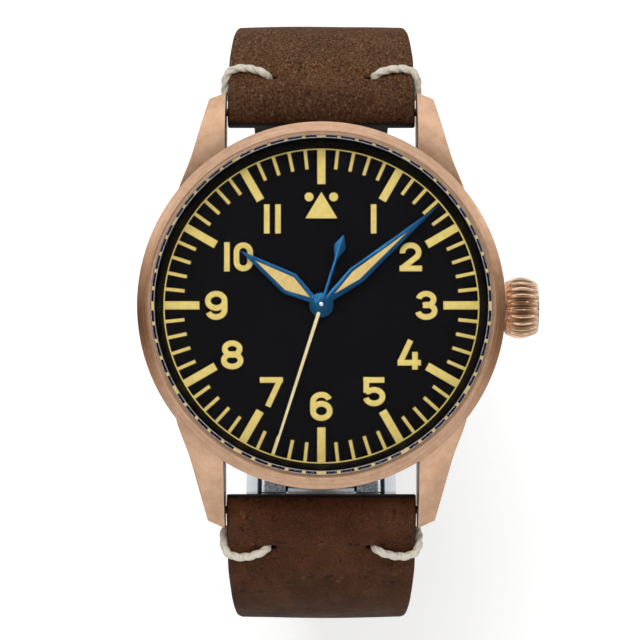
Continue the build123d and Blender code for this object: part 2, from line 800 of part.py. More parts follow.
def toothed(teeth, module, low, high, phase, centre=(0, 0)):
    """A toothed disc whose first tooth points along its phase angle."""
    tip = module * (teeth / 2 + addendum_share)
    root = module * (teeth / 2 - dedendum_share)
    pitch = 360 / teeth
    points = []
    for i in range(teeth):
        middle = phase + i * pitch
        points.append(polar(root, middle - tooth_root_share * pitch))
        points.append(polar(tip, middle - tooth_tip_share * pitch))
        points.append(polar(tip, middle + tooth_tip_share * pitch))
        points.append(polar(root, middle + tooth_root_share * pitch))
    return Pos(centre[0], centre[1], 0) * plan_prism(points, low, high)


def arbor(centre, low, high, radius=arbor_radius):
    """A wheel's arbor with a thinner pivot at each end, in the plates' jewels."""
    body = disc(radius, low, high, centre)
    return body + disc(pivot_radius, bridge_bottom_z + jewel_height, mainplate_bottom_z + jewel_height, centre)


def spoked(radius, rim, hub, low, high, centre, count=4, width=arbor_radius * 2):
    """The windows between the spokes of a wheel."""
    windows = tube(radius - rim, hub, low, high, centre)
    for i in range(count):
        spoke = slab(-width / 2, width / 2, 0, radius, low, high)
        windows -= Pos(centre[0], centre[1], 0) * Rot(0, 0, i * 360 / count) * spoke
    return windows


def third_place():
    """The third wheel's centre, in mesh with the centre wheel."""
    return polar(train_module * (centre_teeth + third_pinion_teeth) / 2, third_angle)


def barrel_place():
    """The barrel's centre, in mesh with the centre pinion."""
    return polar(train_module * (barrel_teeth + centre_pinion_teeth) / 2, barrel_angle)


def escape_place():
    """The escape wheel's centre, in mesh with the fourth wheel."""
    return polar(train_module * (fourth_teeth + escape_pinion_teeth) / 2, escape_angle)


def balance_place():
    """The balance wheel's centre."""
    return polar(balance_distance, balance_angle)


def pallet_place():
    """The pallet fork's centre, on the line from the escape wheel to the balance."""
    ex, ey = escape_place()
    bx, by = balance_place()
    reach = hypot(bx - ex, by - ey)
    share = pallet_distance / reach
    return (ex + (bx - ex) * share, ey + (by - ey) * share)


def motion_place():
    """The minute wheel's centre."""
    return polar(motion_distance, motion_angle)


def make_train():
    """Centre wheel, third wheel, fourth wheel, barrel, and escape wheel, all in mesh."""
    third = third_place()
    rim = 5 * train_module
    hub = 4 * arbor_radius
    z = centre_wheel_z
    wheel = toothed(centre_teeth, train_module, z, z + wheel_thickness, third_angle)
    wheel -= spoked(centre_teeth * train_module / 2, rim, hub, z, z + wheel_thickness, (0, 0))
    pinion_low = barrel_wheel_z - wheel_thickness / 2
    wheel += toothed(centre_pinion_teeth, train_module, pinion_low, z, barrel_angle)
    wheel += disc(centre_tube_radius, pinion_low - wheel_thickness, cannon_level_z)
    wheel -= disc(centre_tube_bore, bridge_bottom_z, cannon_level_z + cut_overrun)
    keep("centre_wheel", wheel)

    phase = mesh_phase(third_angle, third_angle, centre_teeth, third_pinion_teeth)
    third_piece = toothed(third_pinion_teeth, train_module, z - wheel_thickness / 2, third_pinion_top_z, phase,
                          third)
    wheel_phase = third_angle + 180
    low = third_wheel_z
    gear = toothed(third_teeth, second_module, low, low + wheel_thickness, wheel_phase, third)
    gear -= spoked(third_teeth * second_module / 2, rim, hub, low, low + wheel_thickness, third)
    third_piece += gear
    third_piece += arbor(third, low - wheel_thickness, third_pinion_top_z)
    keep("third_wheel", third_piece)

    phase = mesh_phase(third_angle + 180, wheel_phase, third_teeth, fourth_pinion_teeth)
    low = fourth_wheel_z
    fourth = toothed(fourth_teeth, train_module, low, low + wheel_thickness, escape_angle)
    fourth -= spoked(fourth_teeth * train_module / 2, rim, hub, low, low + wheel_thickness, (0, 0))
    fourth += toothed(fourth_pinion_teeth, second_module, low + wheel_thickness,
                      third_wheel_z + wheel_thickness * 3 / 2, phase)
    fourth += disc(second_arbor_radius, bridge_bottom_z + jewel_height, second_hand_z + hand_thickness)
    fourth += disc(second_cap_radius, second_hand_z + hand_thickness,
                   second_hand_z + hand_thickness + second_cap_height)
    keep("fourth_wheel", fourth)

    place = barrel_place()
    phase = mesh_phase(barrel_angle, barrel_angle, centre_pinion_teeth, barrel_teeth)
    low = barrel_wheel_z
    drum = toothed(barrel_teeth, train_module, low, low + wheel_thickness, phase, place)
    drum += disc(barrel_drum_radius, barrel_drum_z, low, place)
    drum -= disc(barrel_drum_radius - barrel_drum_wall, barrel_drum_z + barrel_drum_wall / 2,
                 low, place)
    drum += arbor(place, barrel_drum_z - fit_gap, low + wheel_thickness + fit_gap, barrel_arbor_radius)
    keep("mainspring_barrel", drum)
    keep("mainspring", spiral(place, barrel_arbor_radius + spring_thickness, barrel_drum_radius
                              - barrel_drum_wall - spring_thickness, spring_turns, spring_thickness,
                              barrel_drum_z + barrel_drum_wall / 2 + fit_gap, low - fit_gap))


def spiral(centre, inner, outer, turns, thickness, low, high):
    """A flat coil spring as one ribbon wound from the inside out."""
    steps = turns * spiral_steps
    near, far = [], []
    for i in range(steps + 1):
        angle = 360 * i / spiral_steps
        radius = inner + (outer - inner) * i / steps
        near.append(polar(radius - thickness / 2, angle))
        far.append(polar(radius + thickness / 2, angle))
    return Pos(centre[0], centre[1], 0) * plan_prism(near + far[::-1], low, high)


def make_escapement():
    """Escape wheel, pallet fork, balance wheel and hairspring."""
    place = escape_place()
    phase = mesh_phase(escape_angle, escape_angle, fourth_teeth, escape_pinion_teeth)
    low = escape_wheel_z
    points = []
    pitch = 360 / escape_count
    for i in range(escape_count):
        points.append(polar(escape_radius * escape_root_share, i * pitch - pitch / 2))
        points.append(polar(escape_radius * escape_root_share, i * pitch - pitch * escape_tooth_share))
        points.append(polar(escape_radius, i * pitch))
        points.append(polar(escape_radius * escape_root_share, i * pitch + pitch * escape_tooth_share))
    wheel = Pos(place[0], place[1], 0) * plan_prism(points, low, low + wheel_thickness)
    wheel -= spoked(escape_radius * escape_root_share, 3 * train_module, 2 * arbor_radius, low,
                    low + wheel_thickness, place)
    wheel += toothed(escape_pinion_teeth, train_module, fourth_wheel_z - wheel_thickness / 2, low, phase,
                     place)
    wheel += arbor(place, low, low + 2 * wheel_thickness, arbor_radius)
    keep("escape_wheel", wheel)

    centre = pallet_place()
    balance = balance_place()
    toward = degrees(atan2(balance[1] - centre[1], balance[0] - centre[0]))
    low = escape_wheel_z
    high = low + pallet_thickness
    reach = escape_radius + pallet_stone_gap
    fork = disc(2 * arbor_radius, low, high, centre)
    for side in (-1, 1):
        tip = polar(reach, toward + side * pallet_span_angle)
        end = (place[0] + tip[0] - centre[0], place[1] + tip[1] - centre[1])
        span = hypot(*end)
        arm = slab(0, span, -pallet_width / 2, pallet_width / 2, low, high)
        arm = Rot(0, 0, degrees(atan2(end[1], end[0]))) * arm
        fork += Pos(centre[0], centre[1], 0) * arm
    lever = hypot(balance[0] - centre[0], balance[1] - centre[1]) - roller_radius - fit_gap * 2
    fork += Pos(centre[0], centre[1], 0) * Rot(0, 0, toward) * slab(0, lever, -pallet_width / 2,
                                                                 pallet_width / 2, low, high)
    fork -= disc(escape_radius + pallet_stone_gap / 2, low - cut_overrun, high + cut_overrun, place)
    fork += arbor(centre, low - fit_gap, high + fit_gap)
    keep("pallet_fork", fork)

    low = balance_z
    high = low + balance_rim_height
    wheel = tube(balance_radius, balance_radius - balance_rim_width, low, high, balance)
    bar = slab(-balance_radius + balance_rim_width / 2, balance_radius - balance_rim_width / 2,
               -balance_arm_width / 2, balance_arm_width / 2, low, low + balance_rim_height / 2)
    wheel += Pos(balance[0], balance[1], 0) * Rot(0, 0, balance_angle) * bar
    wheel += disc(balance_hub_radius, low, high, balance)
    wheel += disc(roller_radius, escape_wheel_z, escape_wheel_z + pallet_thickness, balance)
    wheel += arbor(balance, low, escape_wheel_z + pallet_thickness)
    keep("balance_wheel", wheel)
    keep("hairspring", spiral(balance, balance_hub_radius, hairspring_radius, hairspring_turns,
                              hairspring_thickness, hairspring_z, hairspring_z + hairspring_height))


def make_motion_works():
    """Cannon pinion, minute wheel and hour wheel under the dial."""
    cannon_module = 2 * motion_distance / (cannon_teeth + minute_wheel_teeth)
    hour_module = 2 * motion_distance / (minute_pinion_teeth + hour_wheel_teeth)
    place = motion_place()
    low = cannon_level_z
    cannon = toothed(cannon_teeth, cannon_module, low, low + wheel_thickness, motion_angle)
    cannon += disc(cannon_radius, low, minute_hand_z + hand_thickness)
    cannon -= disc(centre_tube_radius, low - cut_overrun, minute_hand_z - hand_thickness)
    cannon -= disc(centre_tube_bore, low, minute_hand_z + cut_overrun)
    keep("cannon_pinion", cannon)
    phase = mesh_phase(motion_angle, motion_angle, cannon_teeth, minute_wheel_teeth)
    wheel = toothed(minute_wheel_teeth, cannon_module, low, low + wheel_thickness, phase, place)
    back = motion_angle + 180
    wheel += toothed(minute_pinion_teeth, hour_module, low + wheel_thickness, hour_level_z + wheel_thickness,
                     back, place)
    wheel -= disc(pivot_radius * 2 + running_gap, low - cut_overrun, dial_seat_z, place)
    keep("minute_wheel", wheel)
    phase = mesh_phase(back, back, minute_pinion_teeth, hour_wheel_teeth)
    low = hour_level_z
    hour = toothed(hour_wheel_teeth, hour_module, low, low + wheel_thickness, phase)
    hour += disc(hour_tube_radius, low, hour_hand_z + hand_thickness)
    hour -= disc(hour_tube_bore, low - cut_overrun, hour_hand_z + cut_overrun)
    keep("hour_wheel", hour)


def make_plates():
    """Mainplate, bridges, jewels, screws and the ring that holds the movement."""
    arbors = [third_place(), barrel_place(), escape_place(), pallet_place(), balance_place()]
    plate = disc(movement_radius, mainplate_bottom_z, mainplate_top_z)
    plate -= disc(centre_tube_radius + running_gap, bridge_bottom_z, mainplate_top_z + cut_overrun)
    plate += disc(pivot_radius * 2, mainplate_top_z, dial_seat_z - fit_gap, motion_place())
    pocket = slab(stem_inner_x - plate_pocket_gap, movement_radius + cut_overrun, -2 * stem_radius
                  - plate_pocket_gap, 2 * stem_radius + plate_pocket_gap, bridge_bottom_z + bridge_gap,
                  crown_z + 2 * stem_radius + plate_pocket_gap)
    plate -= pocket
    bridges = disc(movement_radius, bridge_bottom_z, bridge_top_z) - pocket
    bridges -= disc(second_arbor_radius + running_gap, bridge_bottom_z - cut_overrun, bridge_top_z + cut_overrun)
    jewels = []
    for place in arbors:
        jewels.append(tube(jewel_radius, pivot_radius + running_gap, mainplate_bottom_z,
                           mainplate_bottom_z + jewel_height, place))
        plate -= disc(jewel_radius, mainplate_bottom_z - cut_overrun, mainplate_bottom_z + jewel_height, place)
        jewels.append(tube(jewel_radius, pivot_radius + running_gap, bridge_top_z - jewel_height
                           - plate_pocket_gap, bridge_top_z, place))
        bridges -= disc(jewel_radius, bridge_top_z - jewel_height - plate_pocket_gap, bridge_top_z + cut_overrun,
                        place)
        bridges -= disc(pivot_radius + running_gap, bridge_bottom_z + jewel_height, bridge_top_z, place)
    balance = balance_place()
    cock_width = 3 * jewel_radius
    cock_out = slab(0, movement_radius, -cock_width, cock_width, bridge_bottom_z, bridge_top_z)
    cock_out = Rot(0, 0, balance_angle) * cock_out
    reach = balance_distance - 2 * cock_width
    cock_out -= disc(reach, bridge_bottom_z - cut_overrun, bridge_top_z + cut_overrun)
    window = disc(balance_radius + bridge_gap, bridge_bottom_z - cut_overrun, bridge_top_z + cut_overrun, balance)
    screws = []
    parts = {"barrel_bridge": (bridge_split_y + bridge_gap, movement_radius, 0),
             "train_bridge": (-movement_radius, bridge_split_y, 1)}
    for name, (low_y, high_y, cut) in parts.items():
        half = slab(-movement_radius, movement_radius, low_y, high_y, bridge_bottom_z, bridge_top_z)
        bridge = bridges & half
        if cut:
            bridge -= window
            foot = Rot(0, 0, balance_angle) * slab(reach, movement_radius + cut_overrun, -cock_width
                                                   - bridge_gap, cock_width + bridge_gap,
                                                   bridge_bottom_z - cut_overrun, bridge_top_z + cut_overrun)
            bridge -= foot
        pieces[name] = bridge
    pieces["balance_bridge"] = cock_out & bridges
    ring = movement_radius - pillar_radius
    spots = {"barrel_bridge": (40.0, 150.0), "train_bridge": (200.0, 270.0), "balance_bridge": (balance_angle,)}
    for name, angles in spots.items():
        bridge = pieces[name]
        for angle in angles:
            place = polar(ring, angle)
            post = disc(pillar_radius * 3 / 4, bridge_top_z, mainplate_bottom_z, place)
            hole = disc(screw_shank_radius, bridge_bottom_z - cut_overrun, mainplate_bottom_z, place)
            sink = disc(screw_head_radius + fit_gap, bridge_bottom_z - cut_overrun, bridge_bottom_z
                        + screw_head_height, place)
            bridge = bridge + post - hole - sink
            screw = disc(screw_head_radius, bridge_bottom_z, bridge_bottom_z + screw_head_height, place)
            screw += disc(screw_shank_radius, bridge_bottom_z + screw_head_height, mainplate_bottom_z, place)
            slot = slab(-screw_head_radius, screw_head_radius, -screw_slot_width / 2, screw_slot_width / 2,
                        bridge_bottom_z, bridge_bottom_z + screw_slot_depth)
            screws.append(screw - Pos(place[0], place[1], 0) * slot)
        keep(name, largest(bridge))
    keep("mainplate", plate)
    keep("jewels", *jewels)
    keep("bridge_screws", *screws)
    ring_body = tube(movement_bore_radius - fit_gap, movement_radius + fit_gap, movement_ring_bottom_z,
                     dial_seat_z)
    ring_body += tube(movement_bore_radius - fit_gap, movement_radius - movement_ring_lip,
                      mainplate_top_z, dial_seat_z)
    ring_body -= rod_x(tube_radius + fit_gap, 0, movement_bore_radius, 0, crown_z)
    keep("movement_ring", ring_body)


def largest(shape):
    """The largest solid of a cut shape, without its slivers."""
    return max(shape.solids(), key=lambda s: s.volume)


def make_rotor():
    """Winding weight that swings over the bridges on a ball bearing."""
    top = rotor_bottom_z + rotor_rim_height
    half = slab(-rotor_radius, rotor_radius, -rotor_radius, 0, rotor_bottom_z - cut_overrun, top + cut_overrun)
    rim = tube(rotor_radius, rotor_radius - rotor_rim_width, rotor_bottom_z, top) & half
    web = disc(rotor_radius, rotor_bottom_z, rotor_bottom_z + rotor_plate_height) & half
    window = tube(rotor_radius * (1 - rotor_window_share / 2), rotor_radius * rotor_window_share,
                  rotor_bottom_z - cut_overrun, top)
    spoke = slab(-rotor_hub_radius, rotor_hub_radius, -rotor_radius, 0, rotor_bottom_z - cut_overrun, top)
    side_rail = slab(-rotor_radius, rotor_radius, -rotor_rim_width, 0, rotor_bottom_z - cut_overrun, top)
    web -= window - spoke - side_rail
    rotor = web + rim + disc(rotor_hub_radius, rotor_bottom_z, rotor_bottom_z + rotor_plate_height)
    rotor -= disc(rotor_hole_radius, rotor_bottom_z - cut_overrun, top)
    keep("rotor", rotor)
    bearing = disc(bearing_radius, rotor_bottom_z, rotor_bottom_z + rotor_plate_height)
    bearing += disc(bearing_stem_radius, rotor_bottom_z, bridge_bottom_z)
    keep("rotor_bearing", bearing)


def strap_path():
    """Three arcs, each (centre y, centre z, radius, start angle, end angle), from the bar down."""
    heading = radians(strap_heading)
    first = (strap_side_y - bar_y) / (1 - sin(heading))
    c1 = (strap_side_y - first, bar_z - first * cos(heading))
    c2 = (strap_side_y - strap_flank_radius, c1[1])
    turn = radians(strap_flank_turn)
    end = (c2[0] + strap_flank_radius * cos(turn), c2[1] - strap_flank_radius * sin(turn))
    third = end[0] / cos(turn)
    c3 = (0.0, end[1] + third * sin(turn))
    return [(c1[0], c1[1], first, 90 - strap_heading, 0.0),
            (c2[0], c2[1], strap_flank_radius, 0.0, -strap_flank_turn),
            (c3[0], c3[1], third, -strap_flank_turn, -90.0)]


path_arcs = strap_path()
sole_y, sole_z, sole_radius = path_arcs[2][0], path_arcs[2][1], path_arcs[2][2]


def sole_point(y, depth):
    """A point on the clasp side, a depth inside the strap's path, above a place y."""
    radius = sole_radius - depth
    return (y, sole_z - sqrt(radius ** 2 - y ** 2))


def band(centre_y, centre_z, inner, outer, start, end):
    """A flat ring sector in the plane across the watch, in (y, z) coordinates."""
    centre = (centre_y, centre_z)
    a = CenterArc(centre, inner, start, end - start)
    b = CenterArc(centre, outer, start, end - start)
    sides = [Line(a @ 0, b @ 0), Line(a @ 1, b @ 1)]
    return make_face(a.edges() + b.edges() + sides[0].edges() + sides[1].edges())


def across(face, half_width):
    """Extrudes a face from the (y, z) plane to both sides along X."""
    placed = Plane.YZ * face
    return extrude(placed, half_width, dir=(1, 0, 0)) + extrude(placed, half_width, dir=(-1, 0, 0))


def taper_block():
    """The strap's width, which narrows evenly towards the clasp."""
    wide = strap_width / 2
    narrow = strap_clasp_width / 2
    far = 2 * strap_side_y
    points = [(-wide, far), (wide, far), (wide, strap_taper_top_z), (narrow, strap_taper_low_z),
              (narrow, -far), (-narrow, -far), (-narrow, strap_taper_low_z), (-wide, strap_taper_top_z)]
    outline = Polyline(*[(x, -far, z) for x, z in points], close=True)
    return extrude(make_face(outline.edges()), 2 * far, dir=(0, 1, 0))


def stitch_frame():
    """The place of the stitch on the path: (y, z) and the angle that points outwards there."""
    cy, cz, radius, start, end = path_arcs[0]
    angle = start - degrees(stitch_distance / radius)
    y = cy + radius * cos(radians(angle))
    z = cz + radius * sin(radians(angle))
    return y, z, angle


def stitch_half_width():
    """The strap's half width where the stitch goes round its edge."""
    y, z, angle = stitch_frame()
    if z >= strap_taper_top_z:
        return strap_width / 2
    share = (strap_taper_top_z - z) / (strap_taper_top_z - strap_taper_low_z)
    return strap_width / 2 - share * (strap_width - strap_clasp_width) / 2


def make_stitch():
    """One loop of waxed thread through the strap's hole and round its edge, on the +X side."""
    y, z, angle = stitch_frame()
    edge = stitch_half_width()
    lift = stitch_radius + stitch_lift
    outer = edge + lift
    inner = edge - stitch_hole_inset
    height = strap_thickness / 2 + lift
    normal = (0, cos(radians(angle)), sin(radians(angle)))
    plane = Plane(origin=(0, y, z), x_dir=(1, 0, 0), z_dir=(0, normal[2], -normal[1]))
    r = stitch_corner_radius
    corners = [(inner, -height), (outer, -height), (outer, height), (inner, height)]
    path = plane * FilletPolyline(*corners, radius=r, close=True)
    section = Plane(origin=path @ 0, z_dir=path % 0) * Circle(stitch_radius)
    return sweep(section, path)


def stitch_hole(side):
    """The hole in the strap that the stitch passes through."""
    y, z, angle = stitch_frame()
    inner = side * (stitch_half_width() - stitch_hole_inset)
    normal = (0, cos(radians(angle)), sin(radians(angle)))
    start = [y - strap_thickness * normal[1], z - strap_thickness * normal[2]]
    plane = Plane(origin=(inner, start[0], start[1]), z_dir=normal)
    return plane * extrude(Circle(stitch_hole_radius), 2 * strap_thickness)


def make_strap(name, side):
    """One half of the strap: folded leather, lining and two stitches."""
    half = strap_thickness / 2
    split = -half + lining_thickness
    leather = None
    lining = None
    clasp_angle = -degrees(acos(clasp_bar_y / sole_radius))
    ends = [arc[4] for arc in path_arcs[:2]] + [clasp_angle]
    for i, (cy, cz, radius, start, end) in enumerate(path_arcs):
        stop = ends[i]
        outer_face = band(cy, cz, radius + split, radius + half, start, stop)
        leather = outer_face if leather is None else leather + outer_face
        first = start - strap_fold_turn if i == 0 else start
        last = stop + strap_fold_turn / 4 if i == 2 else stop
        lining_face = band(cy, cz, radius - half, radius + split, first, last)
        lining = lining_face if lining is None else lining + lining_face
        if i == 0:
            leather += band(cy, cz, radius - half, radius + split, start, first)
        if i == 2:
            leather += band(cy, cz, radius - half, radius + split, last, stop)
    leather += Pos(bar_y, bar_z) * Circle(strap_fold_radius)
    clasp = sole_point(clasp_bar_y, 0)
    leather += Pos(clasp[0], clasp[1]) * Circle(half)
    leather -= Pos(bar_y, bar_z) * Circle(bar_radius + fit_gap)
    leather -= Pos(clasp[0], clasp[1]) * Circle(clasp_bar_radius + fit_gap)
    block = taper_block()
    body = across(leather, strap_width) & block
    skin = across(lining, strap_width) & block
    for turn in (-1, 1):
        body -= stitch_hole(turn)
        skin -= stitch_hole(turn)
    stitch = make_stitch()
    stitches = [stitch, mirror(stitch, Plane.YZ)]
    if side < 0:
        body = mirror(body, Plane.XZ)
        skin = mirror(skin, Plane.XZ)
        stitches = [mirror(item, Plane.XZ) for item in stitches]
    keep(name + "_strap", body)
    keep(name + "_strap_lining", skin)
    keep(name + "_strap_stitches", *stitches)


def make_spring_bars():
    """Spring bars between the lugs: a tube with a thinner tip at each end."""
    reach = lug_gap / 2 - bar_end_gap
    tip = lug_gap / 2 + bar_tip_length
    bars = []
    for side in (-1, 1):
        bar = rod_x(bar_radius, -reach, reach, side * bar_y, bar_z)
        bars.append(bar + rod_x(bar_tip_radius, -tip, tip, side * bar_y, bar_z))
    keep("spring_bars", *bars)


def clasp_band(depth, thickness, y0, y1, half_width):
    """A curved clasp plate at a depth inside the strap's path, between two places along Y."""
    inner = sole_radius - depth - thickness
    outer = sole_radius - depth
    middle = (inner + outer) / 2
    start = -degrees(acos(y1 / middle))
    end = -degrees(acos(y0 / middle))
    return across(band(sole_y, sole_z, inner, outer, start, end), half_width)


def make_wing(side):
    """One folding wing of the clasp, made on the +Y side: plate, ears for its bar, and a knuckle."""
    half = clasp_width / 2
    hinge = sole_point(clasp_hinge_y, clasp_hinge_depth)
    clear = clasp_knuckle_radius + clasp_joint_gap
    plate = clasp_band(wing_depth, wing_thickness, lock_half_length + clasp_joint_gap, clasp_hinge_y - clear,
                       half)
    knuckle = rod_x(clasp_knuckle_radius, -clasp_knuckle_width, clasp_knuckle_width, hinge[0], hinge[1])
    neck = clasp_band(wing_depth, wing_thickness, clasp_hinge_y - 2 * clear, clasp_hinge_y,
                      clasp_knuckle_width)
    wing = plate + neck + knuckle
    bar = sole_point(clasp_bar_y, 0)
    low_y = lock_half_length + clasp_joint_gap
    high_y = bar[0] + 3 * clasp_bar_radius
    ear_top = bar[1] - clasp_bar_radius - wing_ear_wall
    wing_inner_z = sole_point(high_y, wing_depth + wing_thickness / 2)[1]
    for turn in (-1, 1):
        x0 = turn * half
        x1 = turn * (half - clasp_ear_thickness)
        if side > 0:
            ear = slab(min(x0, x1), max(x0, x1), low_y, high_y, ear_top, wing_inner_z)
            ear -= rod_x(clasp_bar_radius + fit_gap, min(x0, x1) - cut_overrun, max(x0, x1) + cut_overrun,
                         bar[0], bar[1])
        else:
            hook_y = bar[0] - clasp_bar_radius - 2 * fit_gap
            ear = slab(min(x0, x1), max(x0, x1), low_y, hook_y, ear_top, wing_inner_z)
        wing += ear
    wing -= rod_x(clasp_pin_radius + running_gap, -half, half, hinge[0], hinge[1])
    wing -= lock_pocket()
    return wing


def lock_pocket():
    """The room that a wing leaves for the lock housing."""
    reach = lock_half_length + clasp_joint_gap
    low = sole_point(0, -strap_thickness)[1]
    high = sole_point(0, 2 * base_depth)[1]
    return slab(-lock_width / 2 - button_reach, lock_width / 2 + button_reach, -reach, reach, low, high)


def make_clasp():
    """Folding clasp: base plate, two wings, bars, pins, lock housing, buttons and their springs."""
    half = clasp_width / 2
    hinge = sole_point(clasp_hinge_y, clasp_hinge_depth)
    clear = clasp_knuckle_radius + clasp_joint_gap
    base = clasp_band(base_depth, base_thickness, -(clasp_hinge_y - clear), clasp_hinge_y - clear, half)
    window_half = half - base_border_width
    for turn in (-1, 1):
        window = slab(-window_half, window_half, turn * base_window_y - window_half, turn * base_window_y
                      + window_half, sole_z - sole_radius, sole_z)
        window &= slab(-window_half, window_half, -base_window_y, base_window_y, sole_z - sole_radius, sole_z)
        window -= slab(-half, half, -window_half, window_half, sole_z - sole_radius, sole_z)
        base -= window
        side_x = clasp_knuckle_width + clasp_joint_gap
        for hand in (-1, 1):
            y = hand * hinge[0]
            x0, x1 = sorted((turn * side_x, turn * half))
            knuckle = rod_x(clasp_knuckle_radius, x0, x1, y, hinge[1])
            strip = clasp_band(base_depth, base_thickness, clasp_hinge_y - 2 * clear, clasp_hinge_y, half)
            strip &= slab(x0, x1, 0, strap_side_y, sole_z - 2 * sole_radius, sole_z)
            if hand < 0:
                strip = mirror(strip, Plane.XZ)
            base += knuckle + strip
    floor_z = sole_point(0, base_depth + base_thickness / 2)[1]
    housing_low = sole_point(0, -lock_rise)[1]
    housing = slab(-lock_width / 2, lock_width / 2, -lock_half_length, lock_half_length, housing_low, floor_z)
    middle_z = sole_point(0, wing_depth / 2)[1]
    channel = fit_gap + button_width / 2
    tall = fit_gap + button_height / 2
    deep = lock_width / 2 - button_reach
    for turn in (-1, 1):
        x0, x1 = sorted((turn * (deep - button_travel - fit_gap), turn * (lock_width / 2 + cut_overrun)))
        housing -= slab(x0, x1, -channel, channel, middle_z - tall, middle_z + tall)
        base -= rod_x(clasp_pin_radius, -half, half, hinge[0] * turn, hinge[1])
    keep("clasp_base", base)
    housing -= clasp_band(base_depth, base_thickness, -clasp_bar_y, clasp_bar_y, half)
    keep("clasp_lock_housing", largest(housing))
    springs = []
    for name, turn in (("left", -1), ("right", 1)):
        x0, x1 = sorted((turn * deep, turn * (lock_width / 2 + button_proud)))
        button = slab(x0, x1, -button_width / 2, button_width / 2, middle_z - button_height / 2,
                      middle_z + button_height / 2)
        pocket_end = turn * (lock_width / 2 - button_spring_depth)
        p0, p1 = sorted((turn * (deep - cut_overrun), pocket_end))
        button -= rod_x(button_spring_radius + fit_gap, p0, p1, 0, middle_z)
        keep("clasp_button_" + name, button)
        s0, s1 = sorted((turn * (deep - button_travel - fit_gap), turn * (lock_width / 2 - button_spring_depth
                                                                     - button_travel - fit_gap)))
        spring = rod_x(button_spring_radius, s0, s1, 0, middle_z)
        spring -= rod_x(button_spring_bore, s0 - cut_overrun, s1 + cut_overrun, 0, middle_z)
        springs.append(spring)
    keep("clasp_button_springs", *springs)
    bar = sole_point(clasp_bar_y, 0)
    wing = make_wing(1)
    keep("upper_clasp_wing", wing)
    keep("upper_clasp_bar", rod_x(clasp_bar_radius, -half, half, bar[0], bar[1]))
    pins = [rod_x(clasp_pin_radius, -half, half, turn * hinge[0], hinge[1]) for turn in (-1, 1)]
    keep("clasp_hinge_pins", *pins)
    keep("lower_clasp_wing", mirror(make_wing(-1), Plane.XZ))
    keep("lower_clasp_bar", rod_x(clasp_bar_radius, -half, half, -bar[0], bar[1]))


make_case()
make_bezel_and_crystal()
make_case_back()
make_crown()
make_pinions_on_stem()
make_dial()
make_hands()
make_train()
make_escapement()
make_motion_works()
make_plates()
make_rotor()
make_spring_bars()
make_strap("upper", 1)
make_strap("lower", -1)
make_clasp()

os.makedirs("parts", exist_ok=True)
for name, shape in pieces.items():
    export_step(shape, "parts/" + name + ".step")
print(len(pieces), "pieces")
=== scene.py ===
# %% [markdown]
# # A pilot watch, finished in Blender
# The watch is already built as a mechanical model: case, hands, gear train, strap and folding clasp, each a
# separate piece on its own moving body. This notebook loads that model as a fixed frame and gives every
# piece the surface that the real one has. Pieces whose look depends on fine edges, such as the bezel, the
# lugs, the crown or the stitched leather, are modelled again here in the same place.

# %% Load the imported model
import json
from math import cos, exp, hypot, pi, radians, sin, sqrt

import bmesh
import bpy
from mathutils import Matrix, Vector

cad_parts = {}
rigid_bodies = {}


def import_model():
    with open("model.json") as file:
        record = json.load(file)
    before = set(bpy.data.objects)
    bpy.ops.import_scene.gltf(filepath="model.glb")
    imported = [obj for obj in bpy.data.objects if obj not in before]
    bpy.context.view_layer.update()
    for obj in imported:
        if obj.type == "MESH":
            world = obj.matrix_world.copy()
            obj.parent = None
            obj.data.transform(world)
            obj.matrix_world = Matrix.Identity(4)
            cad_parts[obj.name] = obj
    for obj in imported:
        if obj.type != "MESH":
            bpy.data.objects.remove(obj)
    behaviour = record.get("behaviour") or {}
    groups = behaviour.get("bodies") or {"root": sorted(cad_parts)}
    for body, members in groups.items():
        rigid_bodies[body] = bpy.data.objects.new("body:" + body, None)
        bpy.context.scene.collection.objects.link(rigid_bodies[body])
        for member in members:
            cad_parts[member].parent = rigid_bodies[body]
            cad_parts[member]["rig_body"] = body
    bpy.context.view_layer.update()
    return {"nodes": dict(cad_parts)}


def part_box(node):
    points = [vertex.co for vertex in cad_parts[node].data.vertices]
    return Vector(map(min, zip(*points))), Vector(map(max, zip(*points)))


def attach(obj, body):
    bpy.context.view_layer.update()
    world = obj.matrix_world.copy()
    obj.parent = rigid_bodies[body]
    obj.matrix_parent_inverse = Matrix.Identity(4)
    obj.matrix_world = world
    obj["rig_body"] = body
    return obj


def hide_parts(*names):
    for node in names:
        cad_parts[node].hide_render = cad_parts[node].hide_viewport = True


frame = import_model()
nodes = frame["nodes"]
MM = 0.001

# %% [markdown]
# ## The photographer's table
# The watch was photographed from straight above, the camera leaning about four degrees towards six o'clock,
# on a white ground. A long lens keeps the loop of the strap almost hidden under the watch head, as in the
# picture. The camera's distance decides how much smaller the clasp looks, which lies five centimetres below
# the dial.

# %% Camera above the dial
CAMERA_DISTANCE = 240 * MM
CAMERA_TILT = 3.9
FRAME_WIDTH = 65.0 * MM
LOOK_AT = Vector((-0.14 * MM, -1.6 * MM, 10.5 * MM))

camera = bpy.data.objects.new("camera", bpy.data.cameras.new("camera"))
bpy.context.scene.collection.objects.link(camera)
bpy.context.scene.camera = camera
towards_camera = Vector((0, -sin(radians(CAMERA_TILT)), cos(radians(CAMERA_TILT))))
camera.location = LOOK_AT + towards_camera * CAMERA_DISTANCE
camera.rotation_mode = "QUATERNION"
camera.rotation_quaternion = (-towards_camera).to_track_quat("-Z", "Y")
camera.data.sensor_width = 36
camera.data.lens = 36 * CAMERA_DISTANCE / FRAME_WIDTH
camera.data.clip_start = 1 * MM
camera.data.clip_end = 10
bpy.context.scene.view_settings.view_transform = "Standard"
print("lens", round(camera.data.lens, 1), "mm")

